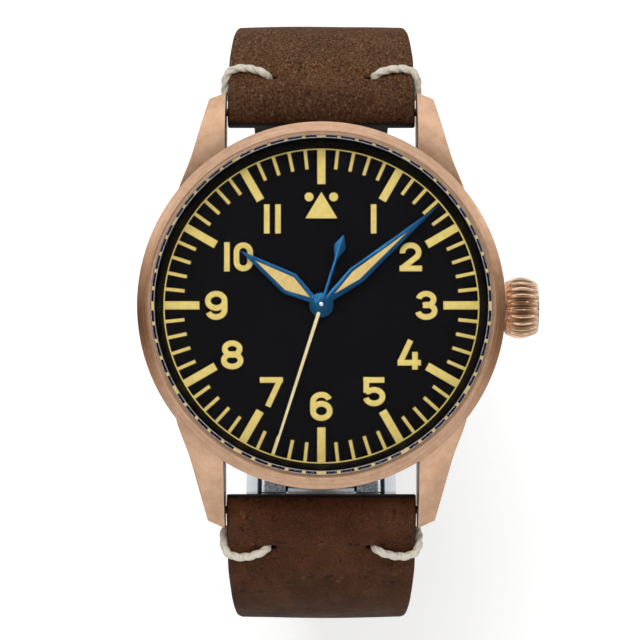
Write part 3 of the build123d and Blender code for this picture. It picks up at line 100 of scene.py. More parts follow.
# %% [markdown]
# ## Helpers for materials
# A hex colour is how a colour is read off a screen, so one function turns it into the linear values that
# Blender mixes with. One more function adds a shader or geometry node with its settings, its values and its
# links, which keeps each material short enough to read.

# %% Colour and node helpers
def colour(hex_code):
    """An sRGB hex colour as linear red, green, blue, alpha."""
    parts = [int(hex_code[i:i + 2], 16) / 255 for i in (1, 3, 5)]
    linear = [c / 12.92 if c <= 0.04045 else ((c + 0.055) / 1.055) ** 2.4 for c in parts]
    return (*linear, 1.0)


def add(tree, kind, settings=None, values=None, links=None):
    """A new node: settings are its properties; values and links go to its inputs by name or index."""
    node = tree.nodes.new(kind)
    for key, value in (settings or {}).items():
        setattr(node, key, value)
    for key, value in (values or {}).items():
        node.inputs[key].default_value = value
    for key, socket in (links or {}).items():
        tree.links.new(socket, node.inputs[key])
    return node


def ramp(tree, factor, stops):
    """A colour ramp from a list of (position, hex colour)."""
    node = add(tree, "ShaderNodeValToRGB", links={"Fac": factor})
    marks = node.color_ramp.elements
    while len(marks) < len(stops):
        marks.new(0.5)
    for mark, (place, hex_code) in zip(marks, stops):
        mark.position = place
        mark.color = colour(hex_code)
    return node.outputs["Color"]


def new_material(name):
    """An empty node material and its principled shader."""
    material = bpy.data.materials.new(name)
    material.use_nodes = True
    tree = material.node_tree
    shader = tree.nodes["Principled BSDF"]
    return material, tree, shader


def object_place(tree):
    """The place on the piece, in metres, that patterns are worked out from."""
    return add(tree, "ShaderNodeTexCoord").outputs["Object"]


def bump(tree, shader, height, distance):
    """Raises the surface by a pattern, a distance in metres high."""
    node = add(tree, "ShaderNodeBump", values={"Strength": 1.0, "Distance": distance},
               links={"Height": height})
    tree.links.new(node.outputs["Normal"], shader.inputs["Normal"])


print("the hex grey #808080 is", round(colour("#808080")[0], 3), "in linear light")

# %% [markdown]
# ## Floor and light
# Metal has hardly a colour of its own: it shows what stands round it. A photographer therefore puts white
# and grey cards round a watch, and each band of light on the case is the picture of one card. Here one
# function draws those cards, and the sky and the ground both use it. Two sets stand round the watch. The
# high ones are bright far from the camera and dim round it, so that a lug runs from dark at its root to
# light at its tip. The low ones are bright too, but dark brown at three and nine o'clock, so that the steep
# bezel darkens at its two sides. A small window stands high at the right.

# %% Cards that the metal shows
HIGH_CARDS = [(0.0, "#CFCFCF"), (0.16, "#CCCCCC"), (0.28, "#F0F0F0"), (0.37, "#B4B4B4"), (0.6, "#A8A29A"),
              (0.68, "#6E665E"), (0.74, "#857D74"), (0.84, "#DCDCDC"), (0.93, "#FFFFFF"), (1.0, "#FFFFFF")]
LOW_CARDS = [(0.0, "#D6D6D6"), (0.13, "#CFCFCF"), (0.25, "#C8C8C8"), (0.37, "#9C8876"), (0.5, "#4E3C2C"),
             (0.62, "#A89C90"), (0.75, "#FFFFFF"), (0.85, "#E4E4E4"), (0.95, "#DCDCDC"), (1.0, "#F0F0F0")]
WINDOW_SIDE = (0.87, -0.5, 0.0)
WINDOW = [(0.19, "#000000"), (0.215, "#FFFFFF"), (0.27, "#FFFFFF"), (0.32, "#000000")]


def cards_seen(tree, direction):
    """The brightness of the cards in a direction."""
    parts = add(tree, "ShaderNodeSeparateXYZ", links={0: direction}).outputs
    lengthways = add(tree, "ShaderNodeMath", {"operation": "MULTIPLY_ADD"}, {1: 0.5, 2: 0.5}, {0: parts["Y"]})
    height = add(tree, "ShaderNodeMapRange", values={"From Min": 0.06, "From Max": 0.22},
                 links={"Value": parts["Z"]})
    cards = add(tree, "ShaderNodeMix", {"data_type": "RGBA"}, links={
        0: height.outputs["Result"],
        6: ramp(tree, lengthways.outputs[0], LOW_CARDS),
        7: ramp(tree, lengthways.outputs[0], HIGH_CARDS)})
    window = add(tree, "ShaderNodeVectorMath", {"operation": "DOT_PRODUCT"}, {1: WINDOW_SIDE}, {0: direction})
    share = add(tree, "ShaderNodeMath", {"operation": "MULTIPLY"}, links={
        0: ramp(tree, window.outputs["Value"], WINDOW), 1: height.outputs["Result"]})
    return add(tree, "ShaderNodeMix", {"data_type": "RGBA"}, {7: colour("#FFFFFF")},
               {0: share.outputs[0], 6: cards.outputs[2]}).outputs[2]


print(len(HIGH_CARDS), "marks on the high cards,", len(LOW_CARDS), "on the low ones")

# %% [markdown]
# ### Paper ground
# The watch was laid over white paper. In a soft light a camera sees white paper as grey, so this paper
# glows, but only for the camera and through the crystal. It still takes the soft shadow of the watch. To the
# metal it shows the same low cards as the sky does, or the underside of every edge would mirror plain white.

# %% Ground
GROUND_Z = -50.6 * MM
GROUND_REACH = 1.5
ground_corners = [(x, y, GROUND_Z) for x, y in ((-GROUND_REACH, -GROUND_REACH), (GROUND_REACH, -GROUND_REACH),
                                                (GROUND_REACH, GROUND_REACH), (-GROUND_REACH, GROUND_REACH))]
ground_mesh = bpy.data.meshes.new("ground")
ground_mesh.from_pydata(ground_corners, [], [(0, 1, 2, 3)])
ground = bpy.data.objects.new("ground", ground_mesh)
bpy.context.scene.collection.objects.link(ground)

# White paper: matt, with a glow that keeps it white for the camera, and the cards' picture for the metal.
paper, tree, shader = new_material("white_paper")
shader.inputs["Base Color"].default_value = colour("#F4F4F4")
shader.inputs["Roughness"].default_value = 0.9
rays = add(tree, "ShaderNodeLightPath")
seen = add(tree, "ShaderNodeMath", {"operation": "MAXIMUM"},
           links={0: rays.outputs["Is Camera Ray"], 1: rays.outputs["Is Transmission Ray"]})
glow = add(tree, "ShaderNodeEmission", values={"Color": colour("#FFFFFF"), "Strength": 0.5})
both = add(tree, "ShaderNodeAddShader", links={0: shader.outputs[0], 1: glow.outputs[0]})
mixed = add(tree, "ShaderNodeMixShader", links={0: seen.outputs[0], 1: shader.outputs[0], 2: both.outputs[0]})
flat = add(tree, "ShaderNodeVectorMath", {"operation": "MULTIPLY"}, {1: (1, 1, 0)}, {0: object_place(tree)})
outward = add(tree, "ShaderNodeVectorMath", {"operation": "NORMALIZE"}, links={0: flat.outputs[0]})
picture = add(tree, "ShaderNodeEmission", links={"Color": cards_seen(tree, outward.outputs[0])})
final = add(tree, "ShaderNodeMixShader",
            links={0: rays.outputs["Is Glossy Ray"], 1: mixed.outputs[0], 2: picture.outputs[0]})
tree.links.new(final.outputs[0], tree.nodes["Material Output"].inputs["Surface"])
ground_mesh.materials.append(paper)
print("ground at", round(GROUND_Z / MM, 1), "mm")

# %% [markdown]
# ### Lamps and sky
# Two square lamps light the dial and the leather, the large one over twelve o'clock and a weaker one at six.
# They are hidden from mirrors, because the square picture of a lamp would spoil the cards' bands on the
# metal. The sky is white for the camera and behind the crystal. Everything else gets the cards, at half
# their strength where they only light a matt surface.

# %% Lamps and sky
def soft_box(name, place, size, power):
    """A square lamp that looks at the watch, unseen in mirrors; place and size in metres, power in watts."""
    lamp = bpy.data.lights.new(name, "AREA")
    lamp.shape = "SQUARE"
    lamp.size = size
    lamp.energy = power
    holder = bpy.data.objects.new(name, lamp)
    bpy.context.scene.collection.objects.link(holder)
    holder.location = place
    holder.rotation_mode = "QUATERNION"
    holder.rotation_quaternion = (-Vector(place)).to_track_quat("-Z", "Y")
    holder.visible_glossy = False
    print(name, power, "W")


soft_box("overhead_box", (-0.10, 0.30, 0.55), 0.35, 2.1)
soft_box("front_box", (0.15, -0.45, 0.35), 0.30, 0.8)

sky = bpy.data.worlds.new("card_sky")
bpy.context.scene.world = sky
sky.use_nodes = True
tree = sky.node_tree
direction = add(tree, "ShaderNodeTexCoord").outputs["Generated"]
rays = add(tree, "ShaderNodeLightPath")
seen = add(tree, "ShaderNodeMath", {"operation": "MAXIMUM"},
           links={0: rays.outputs["Is Camera Ray"], 1: rays.outputs["Is Transmission Ray"]})
white = add(tree, "ShaderNodeBackground", values={"Color": colour("#FFFFFF"), "Strength": 1.0})
level = add(tree, "ShaderNodeMapRange", values={"To Min": 0.5, "To Max": 1.0},
            links={"Value": rays.outputs["Is Glossy Ray"]})
cards = add(tree, "ShaderNodeBackground", links={"Color": cards_seen(tree, direction),
                                                 "Strength": level.outputs["Result"]})
mixed = add(tree, "ShaderNodeMixShader", links={0: seen.outputs[0], 1: cards.outputs[0], 2: white.outputs[0]})
tree.links.new(mixed.outputs[0], tree.nodes["World Output"].inputs["Surface"])

# %% [markdown]
# ## Bronze
# The case is bronze, an alloy of mostly copper, and nearly all of it is finished with an abrasive belt or
# wheel. That leaves thousands of fine parallel scratches, which on a turned part run round the axis. The
# scratches spread a highlight across their own direction, so the metal shows broad soft bands rather than
# mirror pictures. A real scratch is about 0.02 mm wide, too fine to show here, so they are drawn about twice
# as wide.

# %% Scratches
SCRATCH_WIDTH = 0.045 * MM
SCRATCH_TURN = 0.35
STRAIGHT_SCRATCH_LENGTH = 4 * MM
STRAIGHT_SCRATCH_DEPTH = 0.004 * MM


def round_place(tree, place, centre):
    """The radius, the angle and the height of a place round an upright axis."""
    moved = add(tree, "ShaderNodeVectorMath", {"operation": "SUBTRACT"}, {1: centre}, {0: place}).outputs[0]
    parts = add(tree, "ShaderNodeSeparateXYZ", links={0: moved}).outputs
    x, y, height = parts["X"], parts["Y"], parts["Z"]
    square = add(tree, "ShaderNodeMath", {"operation": "MULTIPLY"}, links={0: x, 1: x}).outputs[0]
    squares = add(tree, "ShaderNodeMath", {"operation": "MULTIPLY_ADD"}, links={0: y, 1: y, 2: square})
    radius = add(tree, "ShaderNodeMath", {"operation": "SQRT"}, links={0: squares.outputs[0]}).outputs[0]
    angle = add(tree, "ShaderNodeMath", {"operation": "ARCTAN2"}, links={0: y, 1: x}).outputs[0]
    return radius, angle, height


def scratches(tree, fine, along, fine_step, along_step):
    """A value from 0 to 1 that changes fast across the brushing and slowly along it."""
    scaled = [add(tree, "ShaderNodeMath", {"operation": "DIVIDE"}, {1: step}, {0: socket}).outputs[0]
              for socket, step in ((fine, fine_step), (along, along_step))]
    vector = add(tree, "ShaderNodeCombineXYZ", links={0: scaled[0], 1: scaled[1]})
    grain = add(tree, "ShaderNodeTexNoise", values={"Scale": 1.0, "Detail": 3.0, "Roughness": 0.6},
                links={"Vector": vector.outputs[0]})
    return grain.outputs["Fac"]


print("scratches are drawn", SCRATCH_WIDTH / MM, "mm wide")

# %% [markdown]
# ### Wear
# Bronze tarnishes where it is touched, in faint blotches a millimetre or so wide, and a sleeve rubs pale
# hairlines into it. Both could be painted by hand on one case. As a layer over the brushing they suit any
# metal here, and one number says how far the wear has gone.

# %% Wear
def worn(tree, tone, wear):
    """A tone with faint tarnish in blotches, and a few pale hairlines where the metal was rubbed."""
    place = object_place(tree)
    tarnish = add(tree, "ShaderNodeTexNoise", links={"Vector": place},
                  values={"Scale": 1 / (1.3 * MM), "Detail": 4.0, "Roughness": 0.65})
    blotched = add(tree, "ShaderNodeMix", {"data_type": "RGBA", "blend_type": "MULTIPLY"}, {0: wear}, {
        6: tone, 7: ramp(tree, tarnish.outputs["Fac"], [(0.36, "#C4B4A6"), (0.62, "#FFFFFF")])})
    drawn = add(tree, "ShaderNodeMapping", values={"Rotation": (0, 0, radians(38)),
                                                   "Scale": (1 / (0.1 * MM), 1 / (1.5 * MM), 1 / (0.4 * MM))},
                links={"Vector": place})
    hairline = add(tree, "ShaderNodeTexNoise", values={"Scale": 1.0, "Detail": 2.0},
                   links={"Vector": drawn.outputs[0]})
    share = add(tree, "ShaderNodeMapRange", values={"From Min": 0.66, "From Max": 0.74, "To Max": wear},
                links={"Value": hairline.outputs["Fac"]})
    return add(tree, "ShaderNodeMix", {"data_type": "RGBA"}, {7: colour("#FFE2CA")},
               {0: share.outputs["Result"], 6: blotched.outputs[2]}).outputs[2]


print("hairlines are drawn 0.1 mm wide")

# %% [markdown]
# ### Brushed metals
# A scratch has its own height, tone and gloss, so one pattern drives all three. The pattern of a turned part
# is laid out by radius and angle, and that of a pressed part by two straight directions. A radial tangent
# then lets the shader spread each highlight across the scratches, which are too fine to do that by
# themselves.

# %% Brushed metals
def brushed_round(name, dark, light, rough, depth, centre=(0, 0, 0), anisotropy=0.55, wear=0.0):
    """A metal whose brushing runs round an upright axis, with two tones of one alloy and its wear."""
    material, tree, shader = new_material(name)
    radius, angle, height = round_place(tree, object_place(tree), centre)
    across = add(tree, "ShaderNodeMath", {"operation": "MULTIPLY_ADD"}, {1: 0.83}, {0: height, 2: radius})
    grain = scratches(tree, across.outputs[0], angle, SCRATCH_WIDTH, SCRATCH_TURN)
    tone = ramp(tree, grain, [(0.25, dark), (0.75, light)])
    tree.links.new(worn(tree, tone, wear), shader.inputs["Base Color"])
    gloss = add(tree, "ShaderNodeMapRange", values={"To Min": rough[0], "To Max": rough[1]},
                links={"Value": grain})
    tree.links.new(gloss.outputs["Result"], shader.inputs["Roughness"])
    shader.inputs["Metallic"].default_value = 1.0
    shader.inputs["Anisotropic"].default_value = anisotropy
    tangent = add(tree, "ShaderNodeTangent", {"direction_type": "RADIAL", "axis": "Z"})
    tree.links.new(tangent.outputs[0], shader.inputs["Tangent"])
    bump(tree, shader, grain, depth)
    return material


def brushed_straight(name, dark, light, rough):
    """A metal brushed in straight strokes that run along Y."""
    material, tree, shader = new_material(name)
    place = object_place(tree)
    run = Vector((0, 1, 0))
    side = run.cross(Vector((0.3, 0.2, 1.0))).normalized()
    along, across, deep = (
        add(tree, "ShaderNodeVectorMath", {"operation": "DOT_PRODUCT"}, {1: way}, {0: place}).outputs["Value"]
        for way in (run, side, run.cross(side)))
    both = add(tree, "ShaderNodeMath", {"operation": "MULTIPLY_ADD"}, {1: 0.83}, {0: deep, 2: across})
    grain = scratches(tree, both.outputs[0], along, SCRATCH_WIDTH, STRAIGHT_SCRATCH_LENGTH)
    tone = ramp(tree, grain, [(0.25, dark), (0.75, light)])
    tree.links.new(tone, shader.inputs["Base Color"])
    gloss = add(tree, "ShaderNodeMapRange", values={"To Min": rough[0], "To Max": rough[1]},
                links={"Value": grain})
    tree.links.new(gloss.outputs["Result"], shader.inputs["Roughness"])
    shader.inputs["Metallic"].default_value = 1.0
    bump(tree, shader, grain, STRAIGHT_SCRATCH_DEPTH)
    return material


# Aluminium bronze, belt-brushed round the dial's axis: a warm pink-gold metal with soft bands of light.
brushed_bronze = brushed_round("brushed_bronze", "#E3B490", "#F8D0B1", rough=(0.2, 0.3),
                               depth=0.0018 * MM, wear=0.3)
print("made", brushed_bronze.name)

# %% [markdown]
# ## Turned parts
# A bezel, a crystal and a case band come off a lathe, so each is drawn the way a turner would: half of its
# section, spun round the watch's axis. A sharp corner never survives polishing, so every corner of the
# section is first cut back to a small arc. That thin arc is what draws the bright line along a real edge.

# %% Sections and the lathe
CORNER_STEPS = 3
FINE_TURN = 288


def soft_corners(points, radius):
    """A closed section with its corners rounded; the points are (across, up) in metres."""
    made = []
    count = len(points)
    for i, corner in enumerate(points):
        here = Vector(corner)
        before = Vector(points[i - 1]) - here
        after = Vector(points[(i + 1) % count]) - here
        cut = min(radius, before.length * 0.45, after.length * 0.45)
        start, end = here + before.normalized() * cut, here + after.normalized() * cut
        for k in range(CORNER_STEPS + 1):
            t = k / CORNER_STEPS
            made.append(tuple((1 - t) ** 2 * start + 2 * t * (1 - t) * here + t ** 2 * end))
    return made


def lathe(build, section, steps):
    """Spins a closed section of (radius, height) points round Z. A radius of zero closes the axis."""
    rings = []
    for radius, height in section:
        if radius < 1e-7:
            rings.append([build.verts.new((0, 0, height))])
            continue
        turns = [2 * pi * k / steps for k in range(steps)]
        rings.append([build.verts.new((radius * cos(turn), radius * sin(turn), height)) for turn in turns])
    for i, ring in enumerate(rings):
        other = rings[(i + 1) % len(rings)]
        if len(ring) == 1 and len(other) == 1:
            continue
        for k in range(steps):
            n = (k + 1) % steps
            corners = [ring[k % len(ring)], ring[n % len(ring)], other[n % len(other)], other[k % len(other)]]
            build.faces.new(list(dict.fromkeys(corners)))
    bmesh.ops.recalc_face_normals(build, faces=build.faces[:])


print("a soft corner has", CORNER_STEPS + 1, "points")

# %% [markdown]
# ### Finished pieces
# Each finished piece rides on the body that carries the real one, and hides the plain CAD pieces that it
# stands for. Smooth shading alone would smear a turned part's flat faces together, so edges steeper than an
# angle stay sharp.

# %% Finished pieces
def placed(name, mesh, material, body, replaced, sharp):
    """Turns a mesh into a finished object that rides on its body and stands for its CAD nodes."""
    mesh.materials.clear()
    mesh.materials.append(material)
    mesh.shade_smooth()
    mesh.set_sharp_from_angle(angle=radians(sharp))
    thing = bpy.data.objects.new(name, mesh)
    bpy.context.scene.collection.objects.link(thing)
    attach(thing, body)
    if replaced:
        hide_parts(*replaced)
    print(name, len(mesh.polygons), "faces")
    return thing


def piece(name, build, material, body, replaced, sharp=32):
    """The same for a bmesh."""
    mesh = bpy.data.meshes.new(name)
    build.normal_update()
    build.to_mesh(mesh)
    build.free()
    return placed(name, mesh, material, body, replaced, sharp)


def turned(name, section, material, body, replaced, corner=0.06, steps=240):
    """A lathe-turned piece from its section in millimetres."""
    build = bmesh.new()
    lathe(build, soft_corners([(r * MM, z * MM) for r, z in section], corner * MM), steps)
    return piece(name, build, material, body, replaced)


def take_in(build, other):
    """Adds one bmesh to another and frees it."""
    spare = bpy.data.meshes.new("spare")
    other.to_mesh(spare)
    other.free()
    build.from_mesh(spare)
    bpy.data.meshes.remove(spare)


print(len(bpy.data.materials), "materials so far")

# %% [markdown]
# ### Bezel, flange ring and crystal
# The bezel has an upright wall, a broad sloped band, and a thin nearly level band inside it, which the
# photograph shows as two rings of different brightness. The black ring below the crystal hides the edge of
# the dial.

# %% Bezel and flange ring
BEZEL = [(16.93, 8.8), (18.75, 8.8), (18.75, 10.45), (17.66, 11.47), (17.3, 11.43), (17.3, 9.7), (16.93, 9.7)]
turned("bezel_band", BEZEL, brushed_bronze, "case", ["bezel"], steps=FINE_TURN)

# Anodised aluminium, bead-blasted: an even black with a grain of about a tenth of a millimetre.
satin_black, tree, shader = new_material("satin_black_ring")
grain = add(tree, "ShaderNodeTexNoise", values={"Scale": 1 / (0.12 * MM), "Detail": 2.0},
            links={"Vector": object_place(tree)})
tree.links.new(ramp(tree, grain.outputs["Fac"], [(0.3, "#020203"), (0.7, "#060607")]),
               shader.inputs["Base Color"])
shader.inputs["Roughness"].default_value = 0.45
shader.inputs["Specular IOR Level"].default_value = 0.05
bump(tree, shader, grain.outputs["Fac"], 0.004 * MM)
FLANGE = [(16.2, 8.3), (16.85, 8.3), (16.85, 10.05), (16.77, 10.05), (16.21, 8.42)]
turned("flange_ring", FLANGE, satin_black, "case", ["inner_flange_ring"], corner=0.03)

# %% [markdown]
# The crystal is a flat disc of synthetic sapphire with a ground chamfer, standing a quarter of a millimetre
# above the bezel. Sapphire bends light more than window glass does, and through the chamfer the ends of the
# minute ticks show once more as a ring of dashes. A bare sapphire would throw back a seventh of the light,
# so a real one is coated against reflections, and the dark specular tint stands for that coating. Shadow
# rays pass straight through, so that the lamps light the dial.

# %% Crystal
sapphire, tree, shader = new_material("sapphire_crystal")
shader.inputs["Base Color"].default_value = colour("#FFFFFF")
shader.inputs["Roughness"].default_value = 0.0
shader.inputs["IOR"].default_value = 1.76
shader.inputs["Specular Tint"].default_value = colour("#1C1C26")
shader.inputs["Transmission Weight"].default_value = 1.0
rays = add(tree, "ShaderNodeLightPath")
soft = add(tree, "ShaderNodeMath", {"operation": "MAXIMUM"},
           links={0: rays.outputs["Is Shadow Ray"], 1: rays.outputs["Is Diffuse Ray"]})
clear = add(tree, "ShaderNodeBsdfTransparent")
mixed = add(tree, "ShaderNodeMixShader",
            links={0: soft.outputs[0], 1: shader.outputs[0], 2: clear.outputs[0]})
tree.links.new(mixed.outputs[0], tree.nodes["Material Output"].inputs["Surface"])
crystal_rim = [(17.25 * MM, 10.05 * MM), (17.25 * MM, 11.42 * MM), (16.93 * MM, 11.7 * MM)]
build = bmesh.new()
lathe(build, [(0.0, 10.05 * MM)] + crystal_rim + [(0.0, 11.7 * MM)], FINE_TURN)
piece("sapphire_disc", build, sapphire, "case", ["crystal"], sharp=20)

# The two arrises of the chamfer are ground blunt. Two thin pale lilac rings on them are a painted glint,
# for the light that the coated chamfer's edges reflect.
arris, tree, shader = new_material("painted_glint_on_sapphire_arris")
glint_mottle = add(tree, "ShaderNodeTexNoise", values={"Scale": 1 / (0.3 * MM)},
            links={"Vector": object_place(tree)})
tree.links.new(ramp(tree, glint_mottle.outputs["Fac"], [(0.3, "#8E8790"), (0.7, "#D4CBD2")]),
               shader.inputs["Base Color"])
shader.inputs["Roughness"].default_value = 0.35
build = bmesh.new()
for radius, height in ((16.93, 11.7), (17.25, 11.42)):
    strip = bmesh.new()
    lathe(strip, [((radius + 0.035 * cos(radians(a))) * MM, (height + 0.02 * sin(radians(a))) * MM)
                  for a in range(0, 360, 60)], FINE_TURN)
    take_in(build, strip)
piece("crystal_arris_painted_glints", build, arris, "case", (), sharp=60)

# %% [markdown]
# ### Case band and lugs
# The band is one more turned part. A lug is different: seen from above its outer side runs in to the tip,
# seen from the side its back bows down to the strap bar. A mesh with one row of points per step along the
# lug can follow both outlines at once, which two crossed blocks could not without a hard ridge.

# %% Smooth curves and skins
LOOP_STEPS = 4


def eased(stops, x):
    """A smooth curve through measured (place, value) pairs that doesn't overshoot between them."""
    if x <= stops[0][0]:
        return stops[0][1]
    if x >= stops[-1][0]:
        return stops[-1][1]
    slopes = [(b[1] - a[1]) / (b[0] - a[0]) for a, b in zip(stops, stops[1:])]
    turns = [slopes[0]] + [0 if a * b <= 0 else 2 * a * b / (a + b) for a, b in zip(slopes, slopes[1:])]
    turns.append(slopes[-1])
    for i, (a, b) in enumerate(zip(stops, stops[1:])):
        if x <= b[0]:
            h = b[0] - a[0]
            t = (x - a[0]) / h
            return ((2 * t ** 3 - 3 * t ** 2 + 1) * a[1] + (t ** 3 - 2 * t ** 2 + t) * h * turns[i]
                    + (3 * t ** 2 - 2 * t ** 3) * b[1] + (t ** 3 - t ** 2) * h * turns[i + 1])


def rounded_box_loop(x0, x1, z0, z1, radius):
    """A rectangle's corner-rounded outline in the plane across the watch."""
    loop = []
    for cx, cz, start in ((x1 - radius, z1 - radius, 0), (x0 + radius, z1 - radius, 90),
                          (x0 + radius, z0 + radius, 180), (x1 - radius, z0 + radius, 270)):
        for k in range(LOOP_STEPS + 1):
            angle = radians(start + 90 * k / LOOP_STEPS)
            loop.append((cx + radius * cos(angle), cz + radius * sin(angle)))
    return loop


def skin_rows(build, rows, close_ends=True):
    """Faces between rows of points that each go once round a piece."""
    made = [[build.verts.new(p) for p in row] for row in rows]
    for a, b in zip(made, made[1:]):
        for k in range(len(a)):
            n = (k + 1) % len(a)
            build.faces.new((a[k], a[n], b[n], b[k]))
    if close_ends:
        build.faces.new(made[0][::-1])
        build.faces.new(made[-1])
    return made


print("a soft rectangle has", len(rounded_box_loop(0, 1, 0, 1, 0.2)), "points")

# %% [markdown]
# ### The shape of a lug
# A lug's faces are read as a few places each: the top, the sole and the outer side, at distances along the
# watch. Smooth curves join them. The tip is cut on a slant, so each row of points is found by a few rounds
# of guessing: how far along a point lies depends on how far out it lies, and the other way round.

# %% Lug shape
LUG_TOP = [(9.0, 8.6), (14.0, 7.95), (17.2, 7.2), (19.6, 6.2), (21.4, 5.0), (22.8, 3.9)]
LUG_SOLE = [(9.0, 0.9), (14.0, 0.9), (19.0, 0.3), (22.8, 0.9)]
LUG_SIDE = [(9.0, 15.1), (10.97, 14.96), (15.6, 13.45), (22.0, 11.75), (22.8, 11.55)]
LUG_INNER_X = 10.0
LUG_TIP_Y = 22.8
LUG_TIP_SLANT_SHARE = 0.8 / 1.75
LUG_ROOT_RADIUS = 17.6
LUG_ROWS = 40


def squeezed(share, low, high, edge):
    """Places a share between two faces so that the outer quarter at each face is one rounding radius long."""
    if share < 0.25:
        return low + edge * share / 0.25
    if share > 0.75:
        return high - edge * (1 - share) / 0.25
    return low + edge + (high - low - 2 * edge) * (share - 0.25) / 0.5


def lug_row(share, edge, inset=0.0):
    """One row of points round a lug, from its root in the band, share 0, to its slanted tip, share 1."""
    row = []
    for across, up in rounded_box_loop(0.0, 1.0, 0.0, 1.0, 0.25):
        x = LUG_INNER_X + 3.0
        for _ in range(6):
            root = sqrt(LUG_ROOT_RADIUS ** 2 - x * x)
            tip = LUG_TIP_Y - inset - LUG_TIP_SLANT_SHARE * (x - LUG_INNER_X)
            y = root + (tip - root) * share
            x = squeezed(across, LUG_INNER_X + inset, eased(LUG_SIDE, y) - inset, edge)
        z = squeezed(up, eased(LUG_SOLE, y) + inset, eased(LUG_TOP, y) - inset, edge)
        row.append((x * MM, y * MM, z * MM))
    return row


print("a lug has", LUG_ROWS + 1, "rows of points and reaches", LUG_TIP_Y, "mm from the middle")

# %% Case band with its lugs
# The lugs are brushed crosswise to their length, in strokes that follow the bezel round.
BAND = [(15.0, 0.9), (16.7, 0.9), (18.55, 2.8), (18.55, 8.8), (16.9, 8.8), (16.9, 7.9), (15.0, 7.9)]
build = bmesh.new()
lathe(build, soft_corners([(r * MM, z * MM) for r, z in BAND], 0.08 * MM), FINE_TURN)
for turn_x in (1, -1):
    for turn_y in (1, -1):
        rows = [lug_row(i / LUG_ROWS, 0.14) for i in range(LUG_ROWS + 1)] + [lug_row(1.0, 0.08, 0.07)]
        flipped = [[(turn_x * x, turn_y * y, z) for x, y, z in row] for row in rows]
        lug = bmesh.new()
        skin_rows(lug, flipped)
        bmesh.ops.recalc_face_normals(lug, faces=lug.faces[:])
        take_in(build, lug)
piece("case_band", build, brushed_bronze, "case", ["case_middle"], sharp=35)

# %% [markdown]
# ## Things that repeat round an axis
# The crown has twenty-four flutes, the dial sixty minute marks and twelve hour bars. Each is one small
# shape, copied round an axis. A Geometry Nodes tree does that once for all of them: it puts the shape on a
# row of points that lie on the axis, turns each copy a step further, and joins the copies. Its inputs are
# the count, the axis and a number for the copies to leave out, so that hour bars can take the place of every
# fifth minute mark.

# %% Geometry Nodes: copies round an axis
def named_inputs(tree, inputs):
    """Gives a tree its inputs, from (name, kind, default), and one mesh output; returns the input sockets."""
    for name, kind, default in inputs:
        socket = tree.interface.new_socket(name, in_out="INPUT", socket_type=kind)
        if default is not None:
            socket.default_value = default
    tree.interface.new_socket("Geometry", in_out="OUTPUT", socket_type="NodeSocketGeometry")
    return add(tree, "NodeGroupInput").outputs


def painted_output(tree, geometry, material):
    """Ends a tree: the mesh gets its material and goes to the output."""
    painted = add(tree, "GeometryNodeSetMaterial", links={"Geometry": geometry, "Material": material})
    out = add(tree, "NodeGroupOutput")
    tree.links.new(painted.outputs[0], out.inputs[0])


def round_pattern_tree():
    """Copies the shape it is given round an axis through the origin."""
    tree = bpy.data.node_groups.new("copies_round_an_axis", "GeometryNodeTree")
    given = named_inputs(tree, (
        ("Shape", "NodeSocketGeometry", None), ("Count", "NodeSocketInt", 12),
        ("Axis", "NodeSocketVector", (0, 0, 1)), ("Leave Out Every", "NodeSocketInt", 0),
        ("Weld", "NodeSocketFloat", 1e-6), ("Material", "NodeSocketMaterial", None)))
    row = add(tree, "GeometryNodeMeshLine", {"mode": "OFFSET"}, {"Offset": (0, 0, 0)},
              {"Count": given["Count"]})
    index = add(tree, "GeometryNodeInputIndex").outputs[0]
    step = add(tree, "ShaderNodeMath", {"operation": "DIVIDE"}, {0: 2 * pi}, {1: given["Count"]})
    angle = add(tree, "ShaderNodeMath", {"operation": "MULTIPLY"}, links={0: index, 1: step.outputs[0]})
    spin = add(tree, "FunctionNodeAxisAngleToRotation",
               links={"Axis": given["Axis"], "Angle": angle.outputs[0]})
    every = add(tree, "ShaderNodeMath", {"operation": "MODULO"},
                links={0: index, 1: given["Leave Out Every"]})
    kept = add(tree, "FunctionNodeCompare", {"operation": "GREATER_THAN"}, {1: 0.5}, {0: every.outputs[0]})
    all_kept = add(tree, "FunctionNodeCompare", {"operation": "LESS_THAN"}, {1: 0.5},
                   {0: given["Leave Out Every"]})
    chosen = add(tree, "FunctionNodeBooleanMath", {"operation": "OR"},
                 links={0: kept.outputs[0], 1: all_kept.outputs[0]})
    copies = add(tree, "GeometryNodeInstanceOnPoints",
                 links={"Points": row.outputs[0], "Selection": chosen.outputs[0], "Instance": given["Shape"],
                        "Rotation": spin.outputs[0]})
    real = add(tree, "GeometryNodeRealizeInstances", links={0: copies.outputs[0]})
    welded = add(tree, "GeometryNodeMergeByDistance", links={"Geometry": real.outputs[0],
                                                            "Distance": given["Weld"]})
    painted_output(tree, welded.outputs[0], given["Material"])
    return tree


def from_nodes(name, start, tree, inputs):
    """Runs a Geometry Nodes tree on a start mesh or curve and returns the result as a plain mesh."""
    holder = bpy.data.objects.new(name, start)
    bpy.context.scene.collection.objects.link(holder)
    modifier = holder.modifiers.new("nodes", "NODES")
    modifier.node_group = tree
    for item in tree.interface.items_tree:
        if item.in_out == "INPUT" and item.name in inputs:
            modifier[item.identifier] = inputs[item.name]
    evaluated = holder.evaluated_get(bpy.context.evaluated_depsgraph_get())
    mesh = bpy.data.meshes.new_from_object(evaluated)
    bpy.data.objects.remove(holder)
    mesh.name = name
    return mesh


copies_round = round_pattern_tree()
print("inputs:", [item.name for item in copies_round.interface.items_tree if item.in_out == "INPUT"])

